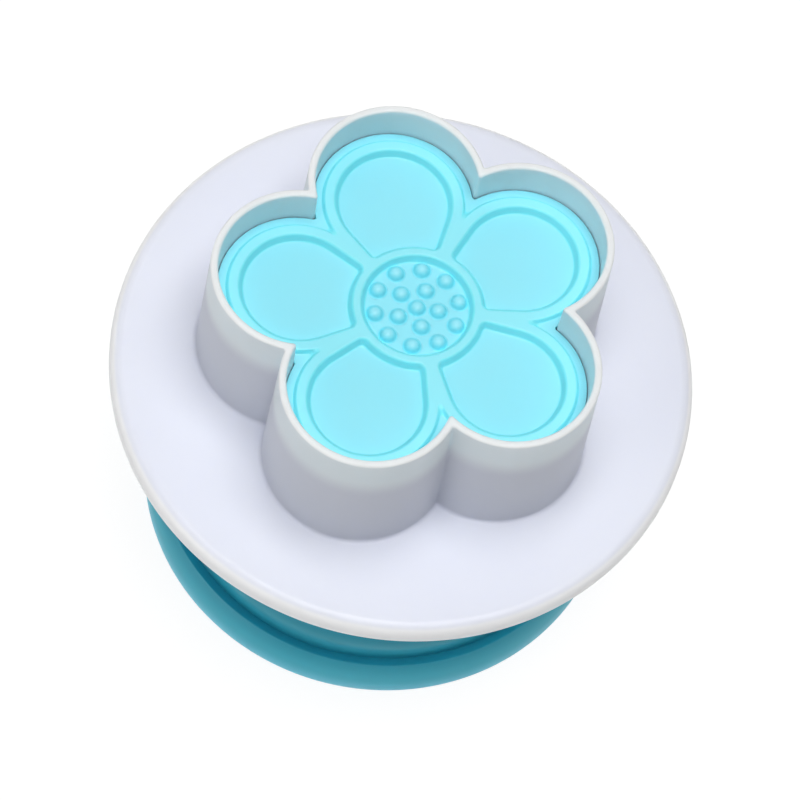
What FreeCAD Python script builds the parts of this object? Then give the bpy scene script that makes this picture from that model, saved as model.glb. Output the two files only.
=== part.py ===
import FreeCAD
import Part
import math
import os

# A spring plunger cookie cutter with a five-petal flower, standing on its palm cap with the blade up.
# Millimetres. +Z points from the palm cap's rest ring to the cutting rim, the origin is on the axis
# in the plane that the cap rests on, and one petal points along +Y.
# The stamp, hub, screw and cap are the plunger: they rise together inside the cutter body.

# Travel and the clearances that the fits share
STROKE = 7.0
GUIDE_CLEARANCE = 0.10
SOCKET_CLEARANCE = 0.05
SNAP_CLEARANCE = 0.10
SCREW_CLEARANCE = 0.05
STAMP_CLEARANCE = 0.30
SPRING_CLEARANCE = 0.50
EDGE_SOFTENING = 0.30
OVERSHOOT = 1.0

# Flower outline: petal arcs round centres on a circle
PETAL_COUNT = 5
PETAL_REACH = 13.85
PETAL_RADIUS = 9.55

# Cutting wall
BLADE_HEIGHT = 18.8
RIM_THICKNESS = 0.90
OUTSIDE_DRAFT = 0.60
INSIDE_DRAFT = 0.15
BASE_FILLET = 0.50

# Flange disc
DISC_RADIUS = 35.0
DISC_THICKNESS = 1.9
EDGE_ROLL = 1.5
LIP_DROP = 0.5
LIP_WIDTH = 1.9

# Guide tube and spring seat behind the disc
GUIDE_WALL = 2.1
GUIDE_TOP_GAP = 0.95
SEAT_WALL = 1.2
SEAT_DEPTH = 2.0
GUSSET_COUNT = 10
GUSSET_REACH = 4.0
GUSSET_THICKNESS = 1.2

# Stamp plate, skirt and stem
STAMP_RECESS = 4.85
PLATE_THICKNESS = 2.0
SKIRT_WALL = 1.4
WEB_THICKNESS = 1.2
WEB_DEPTH = 4.0
STEM_RADIUS = 5.0
FLUTE_COUNT = 4
FLUTE_WIDTH = 2.4
FLUTE_DEPTH = 2.0
FLUTE_START = 6.0
PILOT_ROOM = 1.0

# Design on the stamp: sunk floors between raised ribs and a ring, with domes inside the ring
RIB_HEIGHT = 0.5
RIB_MARGIN = 0.80
RIB_WIDTH = 1.60
FLOOR_DEPTH = 0.4
RING_RADIUS = 7.05
RING_WIDTH = 1.45
RELIEF_SOFTENING = 0.30
DOME_ROWS = 2
DOME_SPACING = 2.5
DOME_RADIUS = 0.95
DOME_HEIGHT = 0.85

# Palm cap
CAP_RADIUS = 29.6
CAP_EDGE_HEIGHT = 2.0
CAP_SHOULDER_HEIGHT = 4.0
CAP_SHOULDER_INSET = 1.5
CAP_WALL = 1.8
DISH_RADIUS = 22.0
DISH_DEPTH = 1.2
GROOVE_WIDTH = 1.2
GROOVE_DEPTH = 0.6
SPIGOT_WALL = 1.4
SPIGOT_HEIGHT = 1.9
SNAP_BEAD = 0.30
SNAP_HEIGHT = 1.1
SNAP_HALF_WIDTH = 0.35

# Plunger hub
HUB_WALL = 1.8
HUB_SIDE_HEIGHT = 4.2
HUB_RISE = 6.6
HUB_SIDE_DRAFT = 0.3
HUB_SHOULDER_FILLET = 2.4
CREST_WIDTH = 0.8
POCKET_DEPTH = 3.3
COLLAR_RISE = 0.8
SOCKET_FLOOR = 2.0
HUB_RIB_COUNT = 8
HUB_RIB_THICKNESS = 1.2
HUB_RIB_GAP = 1.0

# Room for fingers between the hub's crest and the disc's back
FINGER_GAP = 19.1

# Return spring
WIRE_DIAMETER = 1.2
ACTIVE_TURNS = 6.5
END_TURN_GAP = 0.55
TURN_PARTS = 4

# Retaining screw
SCREW_RADIUS = 1.75
SCREW_LENGTH = 14.0
SCREW_TIP = 1.6
SCREW_HEAD_RADIUS = 3.4
SCREW_HEAD_HEIGHT = 2.2
SCREW_HEAD_ROUNDING = 1.6
RECESS_WIDTH = 0.8
RECESS_LENGTH = 3.6
RECESS_DEPTH = 1.2

# Heights of the stack, from the rest plane up
cap_lip = CAP_EDGE_HEIGHT + CAP_SHOULDER_HEIGHT
cap_ledge = cap_lip - GROOVE_DEPTH
hub_crest = cap_ledge + HUB_RISE
disc_back = hub_crest + FINGER_GAP
disc_top = disc_back + DISC_THICKNESS
rim = disc_top + BLADE_HEIGHT
stamp_face = rim - STAMP_RECESS
rib_top = stamp_face + RIB_HEIGHT
stamp_floor = stamp_face - FLOOR_DEPTH
plate_back = stamp_face - PLATE_THICKNESS
web_low = plate_back - WEB_DEPTH
guide_top = web_low - GUIDE_TOP_GAP
pocket_floor = hub_crest - POCKET_DEPTH
collar_top = hub_crest + COLLAR_RISE
hub_back = pocket_floor - HUB_WALL
socket_floor = hub_back + SOCKET_FLOOR
guide_end = collar_top + STROKE

# Radii that pieces share
guide_bore = STEM_RADIUS + GUIDE_CLEARANCE
guide_radius = guide_bore + GUIDE_WALL
spring_inside = guide_radius + SPRING_CLEARANCE
spring_mean = spring_inside + WIRE_DIAMETER / 2
spring_outside = spring_inside + WIRE_DIAMETER
seat_radius = spring_outside + SPRING_CLEARANCE
stamp_radius = PETAL_RADIUS - INSIDE_DRAFT - STAMP_CLEARANCE
rib_radius = stamp_radius - RIB_MARGIN
hub_radius = CAP_RADIUS - CAP_SHOULDER_INSET - GROOVE_WIDTH
hub_inside = hub_radius - HUB_WALL
spigot_radius = hub_inside - SNAP_CLEARANCE
petal_pitch = 360 / PETAL_COUNT
core_radius = PETAL_REACH * math.cos(math.radians(petal_pitch / 2))

vec = FreeCAD.Vector
AXIS = vec(0, 0, 1)


# Shared shapes

class Outline:
    """A closed outline of lines and arcs in the X-Z half plane, revolved round Z."""

    def __init__(self, r, z):
        self.points = [vec(r, 0, z)]
        self.edges = []

    def line(self, r, z):
        end = vec(r, 0, z)
        self.edges.append(Part.LineSegment(self.points[-1], end).toShape())
        self.points.append(end)
        return self

    def arc(self, middle, r, z):
        end = vec(r, 0, z)
        self.edges.append(Part.Arc(self.points[-1], vec(middle[0], 0, middle[1]), end).toShape())
        self.points.append(end)
        return self

    def quarter(self, centre, r, z):
        """Arc to (r, z) round a centre, by the short way."""
        start = self.points[-1]
        middle = vec((start.x + r) / 2 - centre[0], 0, (start.z + z) / 2 - centre[1])
        radius = math.hypot(start.x - centre[0], start.z - centre[1])
        middle = middle.normalize() * radius
        return self.arc((centre[0] + middle.x, centre[1] + middle.z), r, z)

    def solid(self):
        start = self.points[0]
        self.line(start.x, start.z)
        return Part.Face(Part.Wire(self.edges)).revolve(vec(0, 0, 0), AXIS, 360)


def cylinder(radius, low, high):
    return Part.makeCylinder(radius, high - low, vec(0, 0, low))


def box(x_low, x_high, y_low, y_high, z_low, z_high):
    return Part.makeBox(x_high - x_low, y_high - y_low, z_high - z_low, vec(x_low, y_low, z_low))


def turned(shape, degrees):
    copy = shape.copy()
    copy.rotate(vec(0, 0, 0), AXIS, degrees)
    return copy


def around(shape, count, first=0.0):
    """Copies of a shape at even steps round the axis."""
    return [turned(shape, first + 360 / count * step) for step in range(count)]


def flower(petal, low, high):
    """Five copies of a petal solid at their centres, with the middle filled between two heights."""
    placed = petal.copy()
    placed.translate(vec(0, PETAL_REACH, 0))
    middle = cylinder(core_radius, low, high)
    return middle.multiFuse(around(placed, PETAL_COUNT))


def level_edges(shape, z):
    """Edges that lie flat at one height."""
    return [e for e in shape.Edges if abs(e.BoundBox.ZMin - z) < 1e-4 and abs(e.BoundBox.ZMax - z) < 1e-4]


def cleaned(shape):
    """One solid with merged faces."""
    merged = shape.removeSplitter()
    return merged.Solids[0] if len(merged.Solids) == 1 else merged


# Cutter body

def flange_disc():
    lip_low = disc_back - LIP_DROP
    widest = disc_top - EDGE_ROLL
    inner = DISC_RADIUS - LIP_WIDTH
    outline = Outline(0, disc_back).line(inner - LIP_DROP, disc_back).line(inner, lip_low)
    outline.line(DISC_RADIUS - 2 * EDGE_SOFTENING, lip_low)
    outline.line(DISC_RADIUS - EDGE_SOFTENING / 2, lip_low + EDGE_SOFTENING)
    outline.line(DISC_RADIUS, widest)
    outline.quarter((DISC_RADIUS - EDGE_ROLL, widest), DISC_RADIUS - EDGE_ROLL, disc_top)
    return outline.line(0, disc_top).solid()


def blade_petal():
    """Outside of one petal of the wall: drafted, with a fillet at the disc and a softened rim."""
    rim_radius = PETAL_RADIUS + RIM_THICKNESS
    base_radius = rim_radius + OUTSIDE_DRAFT
    soft = EDGE_SOFTENING
    foot = base_radius + BASE_FILLET
    knee = disc_top + BASE_FILLET
    outline = Outline(0, disc_back).line(foot, disc_back).line(foot, disc_top)
    outline.quarter((foot, knee), base_radius, knee)
    outline.line(rim_radius, rim - soft)
    outline.quarter((rim_radius - soft, rim - soft), rim_radius - soft, rim)
    return outline.line(0, rim).solid()


def well_petal():
    """Space inside one petal of the wall, opening a little towards the rim."""
    soft = EDGE_SOFTENING
    outline = Outline(0, disc_top).line(PETAL_RADIUS - INSIDE_DRAFT, disc_top)
    outline.line(PETAL_RADIUS, rim - soft)
    outline.quarter((PETAL_RADIUS + soft, rim - soft), PETAL_RADIUS + soft, rim)
    return outline.line(PETAL_RADIUS + soft, rim + OVERSHOOT).line(0, rim + OVERSHOOT).solid()


def gusset():
    """Triangular rib between the spring seat's wall and the disc's back, along +X."""
    outer = seat_radius + SEAT_WALL + GUSSET_REACH
    inner = seat_radius + SEAT_WALL / 2
    low = disc_back - SEAT_DEPTH
    root = vec(inner, 0, disc_back)
    face = Part.Face(Part.makePolygon([root, vec(outer, 0, disc_back), vec(inner, 0, low), root]))
    face.translate(vec(0, -GUSSET_THICKNESS / 2, 0))
    return face.extrude(vec(0, GUSSET_THICKNESS, 0))


def cutter_body():
    wall = flower(blade_petal(), disc_back, rim).cut(flower(well_petal(), disc_top, rim + OVERSHOOT))
    tube = cylinder(guide_radius, guide_end, guide_top)
    seat = cylinder(seat_radius + SEAT_WALL, disc_back - SEAT_DEPTH, disc_back)
    seat = seat.cut(cylinder(seat_radius, disc_back - SEAT_DEPTH, disc_back))
    body = flange_disc().multiFuse([wall, tube, seat] + around(gusset(), GUSSET_COUNT, 90))
    bore = cylinder(guide_bore, guide_end - OVERSHOOT, guide_top + OVERSHOOT)
    return cleaned(body.cut(bore))


# Embossing stamp

def teardrop(radius, low, high):
    """Petal floor: a circle and its two tangents from the axis."""
    half = math.asin(radius / PETAL_REACH)
    reach = math.sqrt(PETAL_REACH ** 2 - radius ** 2)
    x = reach * math.sin(half)
    y = reach * math.cos(half)
    corners = [vec(0, 0, low), vec(x, y, low), vec(0, PETAL_REACH, low), vec(-x, y, low), vec(0, 0, low)]
    wedge = Part.Face(Part.makePolygon(corners)).extrude(vec(0, 0, high - low))
    disc = cylinder(radius, low, high)
    disc.translate(vec(0, PETAL_REACH, 0))
    return wedge.fuse(disc)


def floor_spaces():
    """Space over the sunk floors: five teardrops outside the ring and a disc inside it."""
    high = rib_top + OVERSHOOT
    drops = around(teardrop(rib_radius - RIB_WIDTH, stamp_floor, high), PETAL_COUNT)
    spaces = drops[0].multiFuse(drops[1:])
    spaces = spaces.cut(cylinder(RING_RADIUS + RING_WIDTH / 2, stamp_floor, high))
    return spaces.fuse(cylinder(RING_RADIUS - RING_WIDTH / 2, stamp_floor, high))


def stamp_shell():
    """Plate and skirt, with raised petal ribs and a centre ring that are rounded along their tops."""
    mouth = disc_top - OVERSHOOT
    cavity = flower(cylinder(stamp_radius - SKIRT_WALL, mouth, plate_back), mouth, plate_back)
    raised = flower(cylinder(rib_radius, plate_back, rib_top), plate_back, rib_top)
    shell = flower(stamp_petal(), disc_top, stamp_face).cut(cavity).fuse(raised)
    shell = cleaned(shell.cut(floor_spaces()))
    return shell.makeFillet(RELIEF_SOFTENING, level_edges(shell, rib_top))


def domes():
    """Domes inside the ring: one in the middle and rows of 5, 10 and so on, half a step off the petals."""
    ball = (DOME_RADIUS ** 2 + DOME_HEIGHT ** 2) / (2 * DOME_HEIGHT)
    dome = Part.makeSphere(ball, vec(0, 0, stamp_floor + DOME_HEIGHT - ball))
    root = stamp_floor - (PLATE_THICKNESS - FLOOR_DEPTH) / 2
    dome = dome.common(cylinder(2 * ball, root, rib_top + ball))
    placed = [dome]
    for row in range(1, DOME_ROWS + 1):
        count = PETAL_COUNT * row
        first = dome.copy()
        first.translate(vec(0, DOME_SPACING * row, 0))
        placed += around(first, count, 180 / count)
    return placed


def stem():
    """Fluted stem with a plain end that sits in the hub's socket, bored for the screw."""
    shaft = cylinder(STEM_RADIUS, socket_floor, plate_back)
    shaft = shaft.makeChamfer(EDGE_SOFTENING, level_edges(shaft, socket_floor))
    flute = box(STEM_RADIUS - FLUTE_DEPTH, STEM_RADIUS + OVERSHOOT, -FLUTE_WIDTH / 2, FLUTE_WIDTH / 2,
                collar_top + FLUTE_START, web_low)
    for cut in around(flute, FLUTE_COUNT, 180 / FLUTE_COUNT):
        shaft = shaft.cut(cut)
    pilot_top = hub_back + SCREW_LENGTH + PILOT_ROOM
    return shaft.cut(cylinder(SCREW_RADIUS + SCREW_CLEARANCE, socket_floor, pilot_top))


def stamp_petal():
    """Outside of one petal of the stamp, with a softened top edge."""
    soft = EDGE_SOFTENING
    outline = Outline(0, disc_top).line(stamp_radius, disc_top).line(stamp_radius, stamp_face - soft)
    outline.quarter((stamp_radius - soft, stamp_face - soft), stamp_radius - soft, stamp_face)
    return outline.line(0, stamp_face).solid()


def embossing_stamp():
    web = box(0, PETAL_REACH, -WEB_THICKNESS / 2, WEB_THICKNESS / 2, web_low, plate_back)
    webs = around(web, PETAL_COUNT, 90 + petal_pitch / 2)
    return cleaned(stamp_shell().multiFuse(webs + [stem()] + domes()))


# Plunger hub

def hub_rib():
    """Rib under the dome, from the spring pocket's wall to the side wall, along +X."""
    inner = seat_radius
    outer = spigot_radius - SPIGOT_WALL - HUB_RIB_GAP
    return box(inner, outer, -HUB_RIB_THICKNESS / 2, HUB_RIB_THICKNESS / 2, hub_back, hub_crest)


def hub_dome(side, draft, lower, fillet):
    """Side wall and dome of the hub as a full block, lowered by a wall where it is the inside."""
    side_top = cap_ledge + HUB_SIDE_HEIGHT - lower
    crest = hub_crest - lower
    outline = Outline(0, cap_ledge).line(side, cap_ledge).line(side - draft, side_top)
    outline.line(seat_radius + CREST_WIDTH + lower, crest).line(0, crest)
    block = outline.solid()
    return block.makeFillet(fillet, level_edges(block, side_top))


def plunger_hub():
    outside = hub_dome(hub_radius, HUB_SIDE_DRAFT, 0, HUB_SHOULDER_FILLET)
    inside = hub_dome(hub_inside, 0, HUB_WALL, HUB_SHOULDER_FILLET - HUB_WALL)
    hub = outside.cut(inside.cut(cylinder(seat_radius + HUB_WALL, hub_back, hub_crest)))
    ribs = [rib.common(outside) for rib in around(hub_rib(), HUB_RIB_COUNT, 180 / HUB_RIB_COUNT)]
    hub = hub.multiFuse(ribs)
    hub = hub.cut(cylinder(seat_radius, pocket_floor, hub_crest + OVERSHOOT))
    hub = hub.fuse(cylinder(guide_radius, hub_back, collar_top))
    hub = hub.cut(cylinder(STEM_RADIUS + SOCKET_CLEARANCE, socket_floor, collar_top + OVERSHOOT))
    hub = hub.cut(cylinder(SCREW_RADIUS + SCREW_CLEARANCE, hub_back - OVERSHOOT, socket_floor + OVERSHOOT))
    return cleaned(hub.cut(snap_groove()))


def snap_groove():
    """Groove inside the side wall that the cap's bead snaps into."""
    snap = cap_ledge + SNAP_HEIGHT
    reach = hub_inside + SNAP_BEAD + SNAP_CLEARANCE
    half = SNAP_HALF_WIDTH + SNAP_CLEARANCE
    outline = Outline(spigot_radius, snap - half).line(hub_inside, snap - half).line(reach, snap)
    return outline.line(hub_inside, snap + half).line(spigot_radius, snap + half).solid()


# Palm cap

def palm_cap():
    lip_radius = CAP_RADIUS - CAP_SHOULDER_INSET
    sphere = (DISH_RADIUS ** 2 + DISH_DEPTH ** 2) / (2 * DISH_DEPTH)
    half_way = DISH_RADIUS / 2
    dish_middle = DISH_DEPTH - sphere + math.sqrt(sphere ** 2 - half_way ** 2)
    shoulder = (CAP_SHOULDER_INSET ** 2 + CAP_SHOULDER_HEIGHT ** 2) / (2 * CAP_SHOULDER_INSET)
    floor = DISH_DEPTH + CAP_WALL
    snap = cap_ledge + SNAP_HEIGHT
    outline = Outline(0, DISH_DEPTH).arc((half_way, dish_middle), DISH_RADIUS, 0)
    outline.line(CAP_RADIUS - CAP_EDGE_HEIGHT, 0)
    outline.quarter((CAP_RADIUS - CAP_EDGE_HEIGHT, CAP_EDGE_HEIGHT), CAP_RADIUS, CAP_EDGE_HEIGHT)
    outline.quarter((CAP_RADIUS - shoulder, CAP_EDGE_HEIGHT), lip_radius, cap_lip)
    outline.line(hub_radius + SNAP_CLEARANCE, cap_ledge).line(spigot_radius, cap_ledge)
    outline.line(spigot_radius, snap - SNAP_HALF_WIDTH).line(spigot_radius + SNAP_BEAD, snap)
    outline.line(spigot_radius, snap + SNAP_HALF_WIDTH).line(spigot_radius, cap_ledge + SPIGOT_HEIGHT)
    outline.line(spigot_radius - SPIGOT_WALL, cap_ledge + SPIGOT_HEIGHT)
    outline.line(spigot_radius - SPIGOT_WALL, floor).line(0, floor)
    return outline.solid()


# Retaining screw

def retaining_screw():
    head_low = hub_back - SCREW_HEAD_HEIGHT
    tip = hub_back + SCREW_LENGTH
    crown = SCREW_HEAD_RADIUS - SCREW_HEAD_ROUNDING
    side = head_low + SCREW_HEAD_ROUNDING
    outline = Outline(0, head_low).line(crown, head_low).quarter((crown, side), SCREW_HEAD_RADIUS, side)
    outline.line(SCREW_HEAD_RADIUS, hub_back).line(SCREW_RADIUS, hub_back)
    outline.line(SCREW_RADIUS, tip - SCREW_TIP).line(0, tip)
    screw = outline.solid()
    arm = box(-RECESS_LENGTH / 2, RECESS_LENGTH / 2, -RECESS_WIDTH / 2, RECESS_WIDTH / 2,
              head_low - OVERSHOOT, head_low + RECESS_DEPTH)
    return screw.cut(arm.fuse(turned(arm, 90)))


# Return spring

def spring_heights():
    """Height of the wire's centre at each part of a turn: close end turns and even active turns."""
    low = pocket_floor + WIRE_DIAMETER / 2
    high = disc_back - WIRE_DIAMETER / 2
    end_pitch = WIRE_DIAMETER + END_TURN_GAP
    ramp = [(part / TURN_PARTS) ** 2 for part in range(TURN_PARTS + 1)]
    start = [low + end_pitch * share for share in ramp]
    finish = [high - end_pitch * share for share in reversed(ramp)]
    steps = round(ACTIVE_TURNS * TURN_PARTS)
    rise = (finish[0] - start[-1]) / steps
    middle = [start[-1] + rise * step for step in range(1, steps)]
    return start + middle + finish


def biarc(start, start_tangent, end, end_tangent):
    """Two arcs that meet tangentially between two points with given directions."""
    chord = end - start
    tangents = start_tangent + end_tangent
    spread = 2 * (1 - start_tangent.dot(end_tangent))
    along = chord.dot(tangents)
    reach = (math.sqrt(along ** 2 + spread * chord.dot(chord)) - along) / spread
    joint = (start + end + (start_tangent - end_tangent) * reach) * 0.5
    edges = []
    for first, last, corner in ((start, joint, start + start_tangent * reach),
                                (joint, end, end - end_tangent * reach)):
        middle = (first + last) * 0.5
        half = (last - first).Length / 2
        turn = math.atan2((corner - middle).Length, half)
        share = math.tan(turn / 2) / math.tan(turn)
        edges.append(Part.Arc(first, middle + (corner - middle) * share, last).toShape())
    return edges


def spring_points():
    """Points of the wire's centre line and its directions there, level at both ends."""
    heights = spring_heights()
    ends = [heights[0]] + heights + [heights[-1]]
    part = 2 * math.pi / TURN_PARTS
    points = []
    tangents = []
    for step, height in enumerate(heights):
        angle = part * step
        slope = (ends[step + 2] - ends[step]) / (2 * spring_mean * part)
        if step in (0, len(heights) - 1):
            slope = 0.0
        points.append(vec(spring_mean * math.cos(angle), spring_mean * math.sin(angle), height))
        tangents.append(vec(-math.sin(angle), math.cos(angle), slope).normalize())
    return points, tangents


def least_gap(wire):
    """Smallest space between turns, measured on points along the wire's centre line."""
    samples = wire.discretize(Distance=WIRE_DIAMETER / 3)
    step = wire.Length / (len(samples) - 1)
    skip = int(spring_mean * math.pi / step)
    gap = min(samples[i].distanceToPoint(samples[j])
              for i in range(len(samples)) for j in range(i + skip, len(samples)))
    return gap - WIRE_DIAMETER


def return_spring():
    points, tangents = spring_points()
    first = points[0] - tangents[0] * WIRE_DIAMETER
    last = points[-1] + tangents[-1] * WIRE_DIAMETER
    edges = [Part.LineSegment(first, points[0]).toShape()]
    for step in range(len(points) - 1):
        edges += biarc(points[step], tangents[step], points[step + 1], tangents[step + 1])
    edges.append(Part.LineSegment(points[-1], last).toShape())
    path = Part.Wire(edges)
    section = Part.Wire(Part.makeCircle(WIRE_DIAMETER / 2, first, tangents[0]))
    spring = path.makePipeShell([section], True, False)
    print("spring: least gap to itself %.2f mm, volume over section times length %.4f" % (
        least_gap(path), spring.Volume / (math.pi * WIRE_DIAMETER ** 2 / 4 * path.Length)))
    return spring


PIECES = {
    "cutter_body": cutter_body,
    "embossing_stamp": embossing_stamp,
    "plunger_hub": plunger_hub,
    "palm_cap": palm_cap,
    "return_spring": return_spring,
    "retaining_screw": retaining_screw,
}

os.makedirs("parts", exist_ok=True)
for name, make in PIECES.items():
    piece = make()
    piece.exportStep(os.path.join("parts", name + ".step"))
    print("%s: %d solid, %.1f mm3, valid %s" % (name, len(piece.Solids), piece.Volume, piece.isValid()))
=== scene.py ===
"""A spring plunger cookie cutter with a five-petal flower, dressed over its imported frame.

Sizes are in millimetres and turned into metres where a mesh is made. +Z runs from the palm cap
to the cutting rim, X = Y = 0 is the axis of the tool, and one petal points along +Y.
"""

import logging
import math
from collections.abc import Sequence
from dataclasses import dataclass, field, replace
from enum import Enum
from typing import ClassVar

import bmesh
import bpy
from mathutils import Matrix, Vector


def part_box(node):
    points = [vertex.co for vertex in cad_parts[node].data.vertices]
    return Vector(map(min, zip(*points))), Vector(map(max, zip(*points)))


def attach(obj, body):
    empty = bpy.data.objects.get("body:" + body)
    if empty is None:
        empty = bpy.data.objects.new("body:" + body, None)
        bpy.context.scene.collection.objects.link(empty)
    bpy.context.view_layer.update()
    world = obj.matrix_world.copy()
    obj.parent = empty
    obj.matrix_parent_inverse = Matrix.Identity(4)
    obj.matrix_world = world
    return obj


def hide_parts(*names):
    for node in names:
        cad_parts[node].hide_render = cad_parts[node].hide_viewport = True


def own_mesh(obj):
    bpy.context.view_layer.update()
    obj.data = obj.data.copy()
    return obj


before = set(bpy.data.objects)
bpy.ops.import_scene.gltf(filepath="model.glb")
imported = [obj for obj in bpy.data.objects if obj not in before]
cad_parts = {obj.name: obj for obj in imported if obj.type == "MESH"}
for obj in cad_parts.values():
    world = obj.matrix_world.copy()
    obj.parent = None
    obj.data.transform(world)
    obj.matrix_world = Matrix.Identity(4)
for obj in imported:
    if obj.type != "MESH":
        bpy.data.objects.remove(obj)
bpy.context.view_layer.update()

MM = 0.001
# Distances in metres within which vertices become one, in a skin and where petal shares meet
SKIN_MERGE = 1e-7
WHEEL_WELD = 0.001 * MM

log = logging.getLogger("cookie_cutter")

Row = tuple[list[Vector], float]
Colour = tuple[float, float, float]
# A height and the colour that a finish is multiplied by there, as painted light and shade
Shade = tuple[float, Colour]


class Body(Enum):
    """The two bodies of the frame that pieces ride on."""

    CUTTER = "cutter"
    PLUNGER = "plunger"


class Slot(Enum):
    """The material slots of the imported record."""

    WHITE = "white_plastic"
    CYAN = "cyan_plastic"
    SPRING = "spring_steel"
    SCREW = "screw_steel"


# Sizes that the frame gives

@dataclass(frozen=True)
class Stack:
    """Heights above the rest plane and largest radii, in millimetres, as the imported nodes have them."""

    rim: float
    guide_end: float
    disc_radius: float
    rib_top: float
    socket_floor: float
    collar_top: float
    cap_ledge: float
    hub_radius: float
    cap_radius: float
    spigot_top: float
    pocket_floor: float
    disc_back: float
    screw_low: float
    screw_tip: float

    @classmethod
    def measured(cls) -> "Stack":
        """Read the heights and radii from the boxes of the nodes.

        Returns:
            The stack in millimetres.
        """
        low: dict[str, Vector] = {}
        high: dict[str, Vector] = {}
        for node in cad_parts:
            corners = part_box(node)
            low[node] = corners[0] / MM
            high[node] = corners[1] / MM
        return cls(
            rim=high["cutter_body"].z,
            guide_end=low["cutter_body"].z,
            disc_radius=high["cutter_body"].x,
            rib_top=high["embossing_stamp"].z,
            socket_floor=low["embossing_stamp"].z,
            collar_top=high["plunger_hub"].z,
            cap_ledge=low["plunger_hub"].z,
            hub_radius=high["plunger_hub"].x,
            cap_radius=high["palm_cap"].x,
            spigot_top=high["palm_cap"].z,
            pocket_floor=low["return_spring"].z,
            disc_back=high["return_spring"].z,
            screw_low=low["retaining_screw"].z,
            screw_tip=high["retaining_screw"].z,
        )


# Outlines

@dataclass(frozen=True)
class Corner:
    """A corner of a section outline.

    Attributes:
        out: Distance from the axis, or the radius of a petal.
        up: Height above the rest plane.
        rounding: Radius that rounds the corner, or 0 for a plain point.
    """

    out: float
    up: float
    rounding: float = 0.0


def heading(angle: float) -> Vector:
    """Unit vector at an angle in radians, counted from +Y towards -X."""
    return Vector((-math.sin(angle), math.cos(angle)))


def turns_round(columns: int) -> list[float]:
    """Angles in radians at even steps round the axis."""
    return [2 * math.pi * column / columns for column in range(columns)]


def rounded(corners: Sequence[Corner], closed: bool = False, steps: int = 6,
            support: float = 0.04) -> list[Vector]:
    """Turn corners into an outline, with an arc and two close support points at each rounded one.

    Args:
        corners: Corners in order.
        closed: Whether the last corner runs on to the first.
        steps: Steps of each arc.
        support: Distance from an arc's end to its support point, which keeps flats flat in shading.

    Returns:
        Points of the outline, with the distance out as x and the height as y.
    """
    spots = [Vector((corner.out, corner.up)) for corner in corners]
    points: list[Vector] = []
    for index, corner in enumerate(corners):
        here = spots[index]
        at_end = not closed and index in (0, len(corners) - 1)
        if corner.rounding <= 0 or at_end:
            points.append(here)
            continue
        back = (spots[index - 1] - here).normalized()
        ahead = (spots[(index + 1) % len(spots)] - here).normalized()
        half = back.angle(ahead) / 2
        cut = corner.rounding / math.tan(half)
        centre = here + (back + ahead).normalized() * (corner.rounding / math.sin(half))
        start = here + back * cut - centre
        finish = here + ahead * cut - centre
        side = math.copysign(1, start.x * finish.y - start.y * finish.x)
        points.append(here + back * (cut + support))
        for step in range(steps + 1):
            turn = side * (math.pi - 2 * half) * step / steps
            points.append(centre + Matrix.Rotation(turn, 2) @ start)
        points.append(here + ahead * (cut + support))
    return points


def arc(centre: tuple[float, float], radius: float, first: float, last: float, steps: int) -> list[Corner]:
    """Plain corners along an arc about (out, up), its angles in degrees from outwards towards up."""
    angles = [math.radians(first + (last - first) * step / steps) for step in range(steps + 1)]
    return [Corner(centre[0] + radius * math.cos(a), centre[1] + radius * math.sin(a)) for a in angles]


@dataclass(frozen=True)
class PetalLayout:
    """One fifth of the flower, centred on +Y, as rows of points that keep their order at every size.

    Attributes:
        reach: Distance from the axis to the middle of a petal.
        count: How many petals there are.
        arc_steps: Steps round a petal.
        valley_steps: Steps of half a valley.
    """

    reach: float = 13.85
    count: int = 5
    arc_steps: int = 56
    valley_steps: int = 4

    @property
    def half(self) -> float:
        """Half the angle of a petal's share of the circle."""
        return math.pi / self.count

    def outline(self, radius: float, valley: float) -> list[Vector]:
        """Edge of a petal with half of the rounded valley at each side.

        Args:
            radius: Radius of the petal.
            valley: Radius that rounds the valley between two petals.

        Returns:
            Points from one bisector to the next.
        """
        along = self.reach * math.cos(self.half)
        aside = self.reach * math.sin(self.half)
        dip = along + math.sqrt((radius + valley) ** 2 - aside ** 2)
        end = math.atan2(dip * math.sin(self.half), dip * math.cos(self.half) - self.reach)
        sides = []
        for side in (-1, 1):
            angles = [self.half + (end - self.half) * step / self.valley_steps
                      for step in range(self.valley_steps)]
            sides.append([heading(side * self.half) * dip - heading(side * angle) * valley
                          for angle in angles])
        turns = [end * (2 * step / self.arc_steps - 1) for step in range(self.arc_steps + 1)]
        middle = [Vector((0, self.reach)) + heading(turn) * radius for turn in turns]
        return sides[0] + middle + sides[1][::-1]

    def circle(self, radius: float) -> list[Vector]:
        """Arc round the axis from one bisector to the next, with as many points as the outline."""
        steps = self.arc_steps + 2 * self.valley_steps
        return [heading(self.half * (2 * step / steps - 1)) * radius for step in range(steps + 1)]


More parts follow.
